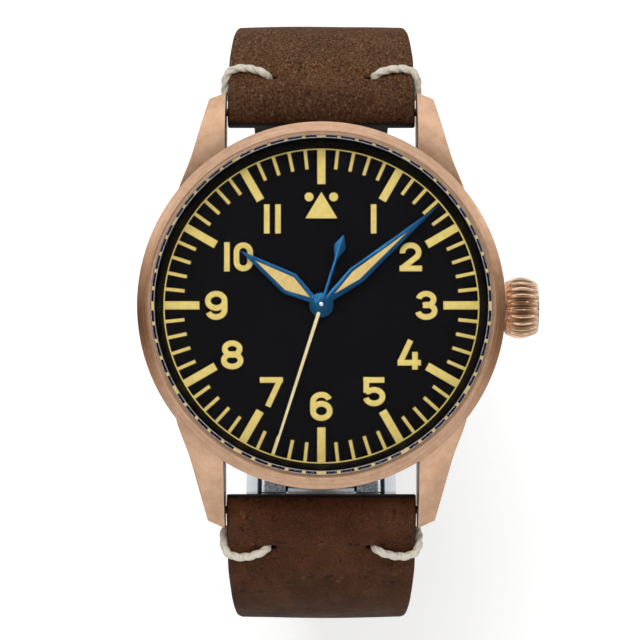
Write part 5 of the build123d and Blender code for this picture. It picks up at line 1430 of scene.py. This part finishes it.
def dyed_edges_and_painted_shade(tree, shader, tone, edge_dye_and_painted_shade, place):
    """Darkens the dyed cut edges nearly black, and the holes and the fold's tip as painted shade; returns the
    mask.
    """
    ragged = add(tree, "ShaderNodeMath", {"operation": "MULTIPLY_ADD"}, {1: 0.6, 2: -0.3},
                 {0: noise(tree, place, 0.5 * MM)})
    edge = add(tree, "ShaderNodeMath", {"operation": "ADD"}, links={0: edge_dye_and_painted_shade, 1: ragged.outputs[0]})
    edge = stops(tree, edge.outputs[0], 0.45, 0.75)
    tree.links.new(overlaid(tree, edge, tone, "#14141C"), shader.inputs["Base Color"])
    return edge


print("layers: noise, stops, overlaid, dyed_edges_and_painted_shade")

# %% [markdown]
# ### Nubuck
# The upper half is nubuck: calf leather, dyed and sanded on its outer side. It is matt, with a fine nap that
# catches pale light, dark specks where the pores lie and a few reddish patches. Round the fold it is painted
# darker, as painted shade.
# The nap's fibres are far finer than a pixel, so they are drawn as flecks about 0.3 mm wide.

# %% Nubuck
nubuck, tree, shader, place, edge_dye_and_painted_shade = hide_tree("nubuck_leather")
tone = ramp(tree, noise(tree, place, 3.5 * MM, 3.0), [(0.3, "#593C27"), (0.7, "#6D4B33")])
tone = overlaid(tree, stops(tree, noise(tree, place, 0.31 * MM, 3.0, 0.7), 0.5, 0.62), tone, "#28170D", 0.9)
tone = overlaid(tree, stops(tree, noise(tree, place, 0.23 * MM, 2.0, 0.7, (1, 0.6, 1)), 0.53, 0.66), tone,
                "#967151", 0.8)
tone = overlaid(tree, stops(tree, noise(tree, place, 1.1 * MM, 2.0), 0.55, 0.68), tone, "#5C2B1A", 0.3)
along = add(tree, "ShaderNodeSeparateXYZ", links={0: place}).outputs["Y"]
# Painted shade round the fold: the tone darkens from 4.2 mm along the hide towards the bar.
tone = overlaid(tree, stops(tree, along, 4.2 * MM, -1.0 * MM), tone, "#2A180F", 0.55)
edge = dyed_edges_and_painted_shade(tree, shader, tone, edge_dye_and_painted_shade, place)
gloss = add(tree, "ShaderNodeMapRange", values={"To Min": 0.9, "To Max": 0.45}, links={"Value": edge})
tree.links.new(gloss.outputs["Result"], shader.inputs["Roughness"])
shader.inputs["Specular IOR Level"].default_value = 0.2
relief = add(tree, "ShaderNodeMath", {"operation": "MULTIPLY_ADD"}, {1: 0.6},
             {0: noise(tree, place, 0.32 * MM, 3.0, 0.7), 2: noise(tree, place, 1.6 * MM)})
bump(tree, shader, relief.outputs[0], 0.16 * MM)

print("made", nubuck.name)

# %% [markdown]
# ### Waxed leather and lining
# The lower half has been waxed and handled. It is smoother and redder, with cloudy darker patches, small
# stains and a few pale scuffs. Towards the clasp it is painted darker, as painted shade. A low gloss comes
# from the wax. The lining is thin black calf leather with a shallow pebbled grain, which cells of a Voronoi
# pattern give. It is seen from the wrist's side.

# %% Waxed leather and lining
waxed, tree, shader, place, edge_dye_and_painted_shade = hide_tree("waxed_leather")
tone = ramp(tree, noise(tree, place, 4.5 * MM, 3.0, 0.6),
            [(0.25, "#3E2416"), (0.5, "#4F301E"), (0.75, "#5C3D29")])
tone = overlaid(tree, stops(tree, noise(tree, place, 2.2 * MM, 4.0, 0.7), 0.5, 0.72), tone, "#65341E", 0.4)
tone = overlaid(tree, stops(tree, noise(tree, place, 0.9 * MM, 3.0, 0.6), 0.6, 0.7), tone, "#180C08", 0.8)
tone = overlaid(tree, stops(tree, noise(tree, place, 0.3 * MM, 3.0, 0.7), 0.5, 0.66), tone, "#24130B", 0.5)
tone = overlaid(tree, stops(tree, noise(tree, place, 0.24 * MM, 2.0, 0.7), 0.55, 0.7), tone, "#7A4A30", 0.5)
tone = overlaid(tree, stops(tree, noise(tree, place, 1.0 * MM, 3.0, 0.7, (0.7, 1, 1)), 0.63, 0.75), tone,
                "#8A6448", 0.4)
along = add(tree, "ShaderNodeSeparateXYZ", links={0: place}).outputs["Y"]
# Painted shade: the tone darkens from 9 mm to 17 mm along the hide, towards the clasp.
tone = overlaid(tree, stops(tree, along, 9 * MM, 17 * MM), tone, "#2E1808", 0.5)
edge = dyed_edges_and_painted_shade(tree, shader, tone, edge_dye_and_painted_shade, place)
gloss = add(tree, "ShaderNodeMapRange", values={"To Min": 0.5, "To Max": 0.72},
            links={"Value": noise(tree, place, 1.0 * MM)})
tree.links.new(gloss.outputs["Result"], shader.inputs["Roughness"])
shader.inputs["Specular IOR Level"].default_value = 0.09
relief = add(tree, "ShaderNodeMath", {"operation": "MULTIPLY_ADD"}, {1: 0.35},
             {0: noise(tree, place, 0.3 * MM, 3.0, 0.6), 2: noise(tree, place, 1.9 * MM)})
bump(tree, shader, relief.outputs[0], 0.14 * MM)

calf, tree, shader, place, edge_dye_and_painted_shade = hide_tree("black_calf_lining")
pebble = add(tree, "ShaderNodeTexVoronoi", {"feature": "SMOOTH_F1"}, {"Scale": 1 / (0.7 * MM)},
             {"Vector": place})
tree.links.new(ramp(tree, pebble.outputs["Distance"], [(0.1, "#141416"), (0.6, "#0A0A0C")]),
               shader.inputs["Base Color"])
shader.inputs["Roughness"].default_value = 0.55
bump(tree, shader, pebble.outputs["Distance"], -0.06 * MM)
print("made", waxed.name, "and", calf.name)

# %% [markdown]
# ### The two halves
# Both halves have one shape, mirrored over the watch, and each its own leather. The lining is a second,
# thinner piece of hide let into the inner face, so it has a mesh of its own.

# %% Strap halves
for name, side, hide in (("upper", 1, nubuck), ("lower", -1, waxed)):
    body = name + "_strap"
    placed(body + "_leather", leather_mesh(body, side), hide, body, [body], sharp=70)
    placed(body + "_calf_lining", lining_mesh(body + "_lining", side), calf, body, [body + "_lining"],
           sharp=50)

# %% [markdown]
# ### Waxed thread
# Each stitch is one loop of thick linen thread. It leaves its hole, crosses the leather in a slack bow and
# goes round the edge, slanting back towards the lug. Three strands are laid round each other, so the
# thread's section has lobes, and the section turns as it goes along. A Geometry Nodes tree makes that from
# any line: its inputs are the thread's radius, the number of strands and the length of one full turn.

# %% Geometry Nodes: laid thread along a line
THREAD_ROWS = 150
THREAD_SIDES = 24


def thread_tree():
    """Turns a line of edges into twisted thread."""
    tree = bpy.data.node_groups.new("laid_thread", "GeometryNodeTree")
    given = named_inputs(tree, (
        ("Line", "NodeSocketGeometry", None), ("Radius", "NodeSocketFloat", 0.4 * MM),
        ("Strands", "NodeSocketInt", 3), ("Lobe Share", "NodeSocketFloat", 0.13),
        ("Turn Length", "NodeSocketFloat", 3.4 * MM), ("Material", "NodeSocketMaterial", None)))
    line = add(tree, "GeometryNodeMeshToCurve", links={"Mesh": given["Line"]})
    even = add(tree, "GeometryNodeResampleCurve", {"mode": "COUNT"}, {"Count": THREAD_ROWS},
               {"Curve": line.outputs[0]})
    gone = add(tree, "GeometryNodeSplineParameter").outputs["Length"]
    turns = add(tree, "ShaderNodeMath", {"operation": "DIVIDE"}, links={0: gone, 1: given["Turn Length"]})
    tilt = add(tree, "ShaderNodeMath", {"operation": "MULTIPLY"}, {1: 2 * pi}, {0: turns.outputs[0]})
    tilted = add(tree, "GeometryNodeSetCurveTilt", links={"Curve": even.outputs[0], "Tilt": tilt.outputs[0]})
    ring = add(tree, "GeometryNodeCurvePrimitiveCircle", {"mode": "RADIUS"}, {"Resolution": THREAD_SIDES},
               {"Radius": given["Radius"]})
    index = add(tree, "GeometryNodeInputIndex").outputs[0]
    lobes = add(tree, "ShaderNodeMath", {"operation": "MULTIPLY"}, links={0: index, 1: given["Strands"]})
    angle = add(tree, "ShaderNodeMath", {"operation": "MULTIPLY"}, {1: 2 * pi / THREAD_SIDES},
                {0: lobes.outputs[0]})
    swell = add(tree, "ShaderNodeMath", {"operation": "COSINE"}, links={0: angle.outputs[0]})
    grown = add(tree, "ShaderNodeMath", {"operation": "MULTIPLY"},
                links={0: swell.outputs[0], 1: given["Lobe Share"]})
    place = add(tree, "GeometryNodeInputPosition").outputs[0]
    offset = add(tree, "ShaderNodeVectorMath", {"operation": "SCALE"},
                 links={0: place, "Scale": grown.outputs[0]})
    lobed = add(tree, "GeometryNodeSetPosition",
                links={"Geometry": ring.outputs[0], "Offset": offset.outputs[0]})
    swept = add(tree, "GeometryNodeCurveToMesh", values={"Fill Caps": True},
                links={"Curve": tilted.outputs[0], "Profile Curve": lobed.outputs[0]})
    real = add(tree, "GeometryNodeRealizeInstances", links={0: swept.outputs[0]})
    painted_output(tree, real.outputs[0], given["Material"])
    return tree


laid_thread = thread_tree()
print("inputs:", [item.name for item in laid_thread.interface.items_tree if item.in_out == "INPUT"])

# %% [markdown]
# ### Stitches
# The thread's way is a row of given places: out of the hole, over the leather, round the edge and back. A
# smooth line joins them. Two stitches that were exactly alike would look machine-made, so the right one of
# each half lies a little tighter. The thread is waxed linen: off-white strands, a little darker in patches
# where wax and dirt have settled.

# %% Line of a stitch
LINE_STEPS = 8
# Each place is (in from the edge, distance along the strap, height above the middle line) in millimetres.
STITCH_LINE = [(4.25, 4.0, -0.4), (4.25, 4.0, 0.6), (4.1, 4.0, 1.25), (3.6, 4.1, 1.62), (2.8, 4.4, 1.72),
               (1.7, 4.65, 1.72), (0.7, 4.6, 1.64), (0.0, 4.35, 1.36), (-0.32, 3.95, 0.8), (-0.38, 3.6, 0.1),
               (-0.38, 3.3, -0.7), (-0.1, 3.35, -1.35), (0.8, 3.7, -1.6), (2.4, 3.95, -1.62),
               (3.7, 4.0, -1.55), (4.15, 4.0, -1.2), (4.25, 4.0, -0.5)]


def rounded_line(places):
    """A smooth line through places: it leaves each one parallel to the line from the last to the next."""
    vectors = [Vector(p) for p in places]
    padded = [2 * vectors[0] - vectors[1]] + vectors + [2 * vectors[-1] - vectors[-2]]
    line = []
    for a, b, c, d in zip(padded, padded[1:], padded[2:], padded[3:]):
        for k in range(LINE_STEPS):
            t = k / LINE_STEPS
            line.append(0.5 * (2 * b + (c - a) * t + (2 * a - 5 * b + 4 * c - d) * t * t
                               + (3 * b - a - 3 * c + d) * t ** 3))
    return line + [vectors[-1]]


def stitch_line(side_x, side_y, looseness):
    """The line of one stitch on a strap half, as a mesh of edges."""
    places = []
    for inset, distance, height in STITCH_LINE:
        y, z = path_place(STITCH_AT + (distance - STITCH_AT) * looseness, height)
        x = half_width(path_place(distance)[1]) - inset
        places.append((side_x * x * MM, side_y * y * MM, z * MM))
    line = rounded_line(places)
    mesh = bpy.data.meshes.new("stitch_line")
    mesh.from_pydata([tuple(p) for p in line], [(k, k + 1) for k in range(len(line) - 1)], [])
    return mesh


print("a stitch's line has", LINE_STEPS * (len(STITCH_LINE) - 1) + 1, "points")

# %% Stitches
linen, tree, shader = new_material("waxed_linen_thread")
place = object_place(tree)
tone = ramp(tree, noise(tree, place, 0.25 * MM, 2.0, 0.6), [(0.25, "#D2C8B0"), (0.55, "#F4EEDF")])
tree.links.new(tone, shader.inputs["Base Color"])
shader.inputs["Roughness"].default_value = 0.7
bump(tree, shader, noise(tree, place, 0.09 * MM, 2.0, 0.6), 0.03 * MM)

for name, side in (("upper", 1), ("lower", -1)):
    build = bmesh.new()
    for side_x, looseness in ((-1, 1.0), (1, 0.86)):
        thread = from_nodes("thread", stitch_line(side_x, side, looseness), laid_thread,
                            {"Radius": 0.4 * MM, "Strands": 3, "Lobe Share": 0.13, "Turn Length": 3.4 * MM,
                             "Material": linen})
        build.from_mesh(thread)
        bpy.data.meshes.remove(thread)
    bmesh.ops.recalc_face_normals(build, faces=build.faces[:])
    piece(name + "_strap_thread", build, linen, name + "_strap", [name + "_strap_stitches"],
          sharp=60)

# %% [markdown]
# ## Steel
# The clasp, the spring bars and the screws are stainless steel, a cooler and greyer metal than the bronze.
# Pressed plates are brushed lengthwise and their edges are polished. The inside of the clasp plate, which
# shows between the case and the strap, is left matt and mottled between two polished borders.

# %% Steel materials
STEEL_CLOUD = 0.4 * MM


def steel(name, dark, light, rough):
    """Polished or satin steel with faint clouds of wear."""
    material, tree, shader = new_material(name)
    cloud = noise(tree, object_place(tree), STEEL_CLOUD, 3.0, 0.6)
    tree.links.new(ramp(tree, cloud, [(0.3, dark), (0.7, light)]), shader.inputs["Base Color"])
    gloss = add(tree, "ShaderNodeMapRange", values={"To Min": rough[0], "To Max": rough[1]},
                links={"Value": cloud})
    tree.links.new(gloss.outputs["Result"], shader.inputs["Roughness"])
    shader.inputs["Metallic"].default_value = 1.0
    return material


# Brushed stainless steel of the clasp's wings and lock, in strokes that run along the strap.
brushed_steel = brushed_straight("brushed_steel", "#8A8C90", "#C4C6C9", rough=(0.22, 0.38))
# Polished stainless steel of bars, pins and screws: bright, with only faint wear.
polished_steel = steel("polished_steel", "#B4B6BA", "#D2D4D6", (0.08, 0.2))
# Dull tempered steel of the springs, slightly blue from the oven.
spring_steel = steel("tempered_spring_steel", "#6C737E", "#8F959E", (0.22, 0.35))
print("made", brushed_steel.name, polished_steel.name, spring_steel.name)

# %% [markdown]
# ### Clasp plate and clasp
# The clasp's plate is pressed from steel sheet. Its inner face stays matt and mottled between two polished
# borders. The borders are drawn by their distance from the middle line, as a finish and not a shape: the
# bright line where they meet the middle and the dark band beside it are a painted reflection of the polished
# metal.

# %% Clasp plate and clasp
plate, tree, shader = new_material("clasp_plate_steel")
place = object_place(tree)
across = add(tree, "ShaderNodeSeparateXYZ", links={0: place}).outputs["X"]
out_share = add(tree, "ShaderNodeMath", {"operation": "ABSOLUTE"}, links={0: across})
out_share = stops(tree, out_share.outputs[0], 6.0 * MM, 9.0 * MM)
mottle = noise(tree, place, 0.35 * MM, 4.0, 0.75)
middle = ramp(tree, mottle, [(0.35, "#5E6770"), (0.5, "#939CA4"), (0.65, "#C3CBD0")])
# Painted reflection: the white line and the dark band on the polished border.
border_with_painted_reflections = ramp(tree, out_share, [(0.25, "#7D8890"), (0.29, "#F4F6F8"), (0.36, "#F4F6F8"), (0.4, "#16181B"),
                                (0.53, "#24282C"), (0.58, "#C9CED2"), (1.0, "#DDE1E4")])
is_border = ramp(tree, out_share, [(0.27, "#000000"), (0.275, "#FFFFFF")])
tone = add(tree, "ShaderNodeMix", {"data_type": "RGBA"}, links={0: is_border, 6: middle, 7: border_with_painted_reflections})
tree.links.new(tone.outputs[2], shader.inputs["Base Color"])
gloss = add(tree, "ShaderNodeMapRange", values={"To Min": 0.5, "To Max": 0.16}, links={"Value": is_border})
tree.links.new(gloss.outputs["Result"], shader.inputs["Roughness"])
shader.inputs["Metallic"].default_value = 0.9
bump(tree, shader, mottle, 0.02 * MM)


def softened_all(material, slot, width, *names):
    """Several softened CAD pieces of one material."""
    for name in names:
        softened(name + "_finished", name, material, nodes[name]["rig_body"], width)


softened_all(plate, "steel", 0.12, "clasp_base")
softened_all(brushed_steel, "steel", 0.1, "upper_clasp_wing", "lower_clasp_wing")
softened_all(brushed_steel, "steel", 0.08, "clasp_lock_housing", "clasp_button_left", "clasp_button_right")
softened_all(polished_steel, "steel", 0.08, "upper_clasp_bar", "lower_clasp_bar", "clasp_hinge_pins")
softened_all(polished_steel, "steel", 0.08, "spring_bars")
softened_all(spring_steel, "spring_steel", 0.03, "clasp_button_springs")

# %% [markdown]
# ## Case back and seals
# The back screws in with a key that fits the six notches round its rim. It was faced on a lathe, so its
# scratches run round the centre and throw two soft fans of light across it. The seals are nitrile rubber:
# black and matt, with a grey bloom from the mould. They sit deep in their grooves, so they keep their plain
# CAD shape.

# %% Case back, seals and winding parts
back_steel = brushed_round("turned_back_steel", "#93918C", "#C9C6C0", rough=(0.2, 0.36), depth=0.003 * MM,
                           anisotropy=0.7)
softened_all(back_steel, "back_steel", 0.1, "case_back")
softened_all(polished_steel, "steel", 0.04, "crown_tube", "winding_stem")

rubber, tree, shader = new_material("nitrile_rubber")
bloom = noise(tree, object_place(tree), 0.5 * MM, 3.0)
tree.links.new(ramp(tree, bloom, [(0.3, "#17171A"), (0.7, "#26262A")]), shader.inputs["Base Color"])
shader.inputs["Roughness"].default_value = 0.7


def coat(material, *names):
    """Gives CAD pieces that stay as they are their real surface."""
    for name in names:
        mesh = nodes[name].data
        mesh.materials.clear()
        mesh.materials.append(material)
    print(material.name, "on", ", ".join(names))


coat(rubber, "crystal_gasket", "case_back_gasket", "crown_gasket")

# %% [markdown]
# ## Movement
# Behind the case back lies an automatic movement. Its bridges are brass, plated with rhodium and cut with
# broad stripes. Each stripe is slightly hollow, so that its two sides catch the light in turn. A bump gives
# the hollow, because a real stripe is only a hundredth of a millimetre deep, and the colour runs from dark to
# light across each stripe as a painted sheen. The winding weight's stripes run another way than those of the
# bridges.

# %% Striped plating
def striped(name, dark, light, width, turn):
    """Plated brass with broad hollow stripes, a painted sheen across each one, and fine grain inside them."""
    material, tree, shader = new_material(name)
    place = object_place(tree)
    run = (cos(radians(turn)), sin(radians(turn)), 0.0)
    side = (-run[1], run[0], 0.0)
    across, along = (
        add(tree, "ShaderNodeVectorMath", {"operation": "DOT_PRODUCT"}, {1: way}, {0: place}).outputs["Value"]
        for way in (side, run))
    step = add(tree, "ShaderNodeMath", {"operation": "DIVIDE"}, {1: width}, {0: across})
    share = add(tree, "ShaderNodeMath", {"operation": "FRACT"}, links={0: step.outputs[0]}).outputs[0]
    off = add(tree, "ShaderNodeMath", {"operation": "SUBTRACT"}, {1: 0.5}, {0: share})
    hollow = add(tree, "ShaderNodeMath", {"operation": "MULTIPLY"},
                 links={0: off.outputs[0], 1: off.outputs[0]})
    grain = scratches(tree, across, along, SCRATCH_WIDTH, 3 * MM)
    # Painted sheen: the tone runs from dark to light across each stripe, mixed with the grain.
    mixed = add(tree, "ShaderNodeMath", {"operation": "MULTIPLY_ADD"}, {1: 0.5}, {0: share, 2: grain})
    tree.links.new(ramp(tree, mixed.outputs[0], [(0.3, dark), (1.0, light)]), shader.inputs["Base Color"])
    shader.inputs["Metallic"].default_value = 1.0
    shader.inputs["Roughness"].default_value = 0.27
    bump(tree, shader, hollow.outputs[0], 0.12 * MM)
    return material


bridge_plating = striped("striped_bridge_plating", "#8E8C87", "#D6D3CC", 1.6 * MM, 25.0)
rotor_plating = striped("striped_rotor_plating", "#86847F", "#CFCCC5", 1.9 * MM, -40.0)
softened_all(bridge_plating, "plated_brass", 0.08, "barrel_bridge", "train_bridge", "balance_bridge")
softened_all(rotor_plating, "plated_brass", 0.1, "rotor")

# %% [markdown]
# ### Mainplate and movement ring
# The mainplate has small round overlapping grindings, made by pressing a turning peg against it again and
# again. Cells of a Voronoi pattern stand for them, each one a shallow dish with faint rings. The ring that
# centres the movement in the case is moulded acetal: ivory, satin and faintly flecked.

# %% Mainplate and movement ring
perlage, tree, shader = new_material("perlage_mainplate")
spots = add(tree, "ShaderNodeTexVoronoi", {"feature": "F1"}, {"Scale": 1 / (1.1 * MM), "Randomness": 0.25},
            {"Vector": object_place(tree)})
rings = add(tree, "ShaderNodeMath", {"operation": "SINE"},
            links={0: add(tree, "ShaderNodeMath", {"operation": "MULTIPLY"}, {1: 40.0},
                          {0: spots.outputs["Distance"]}).outputs[0]})
tree.links.new(ramp(tree, spots.outputs["Distance"], [(0.0, "#D2CFC8"), (0.6, "#96938D")]),
               shader.inputs["Base Color"])
shader.inputs["Metallic"].default_value = 1.0
shader.inputs["Roughness"].default_value = 0.3
relief = add(tree, "ShaderNodeMath", {"operation": "MULTIPLY_ADD"}, {1: 0.12},
             {0: rings.outputs[0], 2: spots.outputs["Distance"]})
bump(tree, shader, relief.outputs[0], 0.05 * MM)
softened_all(perlage, "plated_brass", 0.06, "mainplate")
acetal, tree, shader = new_material("acetal_movement_ring")
fleck = noise(tree, object_place(tree), 0.8 * MM, 2.0)
tree.links.new(ramp(tree, fleck, [(0.3, "#DAD7CE"), (0.7, "#E6E3DB")]), shader.inputs["Base Color"])
shader.inputs["Roughness"].default_value = 0.45
softened_all(acetal, "movement_ring", 0.08, "movement_ring")

# %% [markdown]
# ### Wheels, springs and jewels
# The barrel and most wheels are gilt brass, each one brushed round its own arbor, so each has a material of
# its own with that arbor's place in it. The balance is a gold-coloured copper alloy, polished on its rim and
# arms. Pinions, the escape wheel, the fork and the wheel that carries the second hand are polished steel,
# and the end of that wheel's arbor is the bright pin in the middle of the dial. The fork's two ends are set
# back here by a hair, because a copy with rounded edges would touch a tooth when the fork rocks. The
# bearings are synthetic ruby: deep pink-red and very glossy.

# %% Wheels, springs and jewels
FORK_CLEARANCE = 0.24 * MM


def node_centre(name):
    """The middle of a CAD piece's box."""
    low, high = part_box(name)
    return tuple((a + b) / 2 for a, b in zip(low, high))


def set_back(build):
    """Shortens the pallet fork's two ends, so that neither cuts into a tooth when the fork rocks."""
    wheel = nodes["escape_wheel"]
    middle = Vector(node_centre("escape_wheel"))
    tips = max((wheel.matrix_world @ vert.co - middle).xy.length for vert in wheel.data.vertices)
    clear = tips + FORK_CLEARANCE
    for vert in build.verts:
        out = (vert.co - middle).xy
        if out.length < clear:
            vert.co.xy = middle.xy + out.normalized() * clear
    print("pallet fork set back to", round(clear / MM, 2), "mm from the escape wheel's arbor")


for name in ("centre_wheel", "third_wheel", "minute_wheel", "hour_wheel", "mainspring_barrel"):
    gilt = brushed_round("gilt_" + name, "#B08A45", "#E0C078", rough=(0.2, 0.34), depth=0.002 * MM,
                         centre=node_centre(name))
    softened_all(gilt, "gear_brass", 0.02, name)
balance_alloy = steel("balance_alloy", "#C79A55", "#E3BE7C", (0.12, 0.24))
softened_all(balance_alloy, "gear_brass", 0.03, "balance_wheel")
softened_all(polished_steel, "steel", 0.02, "fourth_wheel", "cannon_pinion", "winding_pinion",
             "sliding_pinion", "escape_wheel", "rotor_bearing")
softened("pallet_fork_finished", "pallet_fork", polished_steel, "pallet_fork", width=0.02,
         shape=set_back)
softened_all(polished_steel, "steel", 0.04, "bridge_screws")
coat(spring_steel, "hairspring", "mainspring")

ruby, tree, shader = new_material("synthetic_ruby")
clouds = noise(tree, object_place(tree), 0.6 * MM)
tree.links.new(ramp(tree, clouds, [(0.3, "#8E0F26"), (0.7, "#C42A44")]), shader.inputs["Base Color"])
shader.inputs["Roughness"].default_value = 0.06
shader.inputs["Coat Weight"].default_value = 0.5
softened_all(ruby, "ruby", 0.03, "jewels")
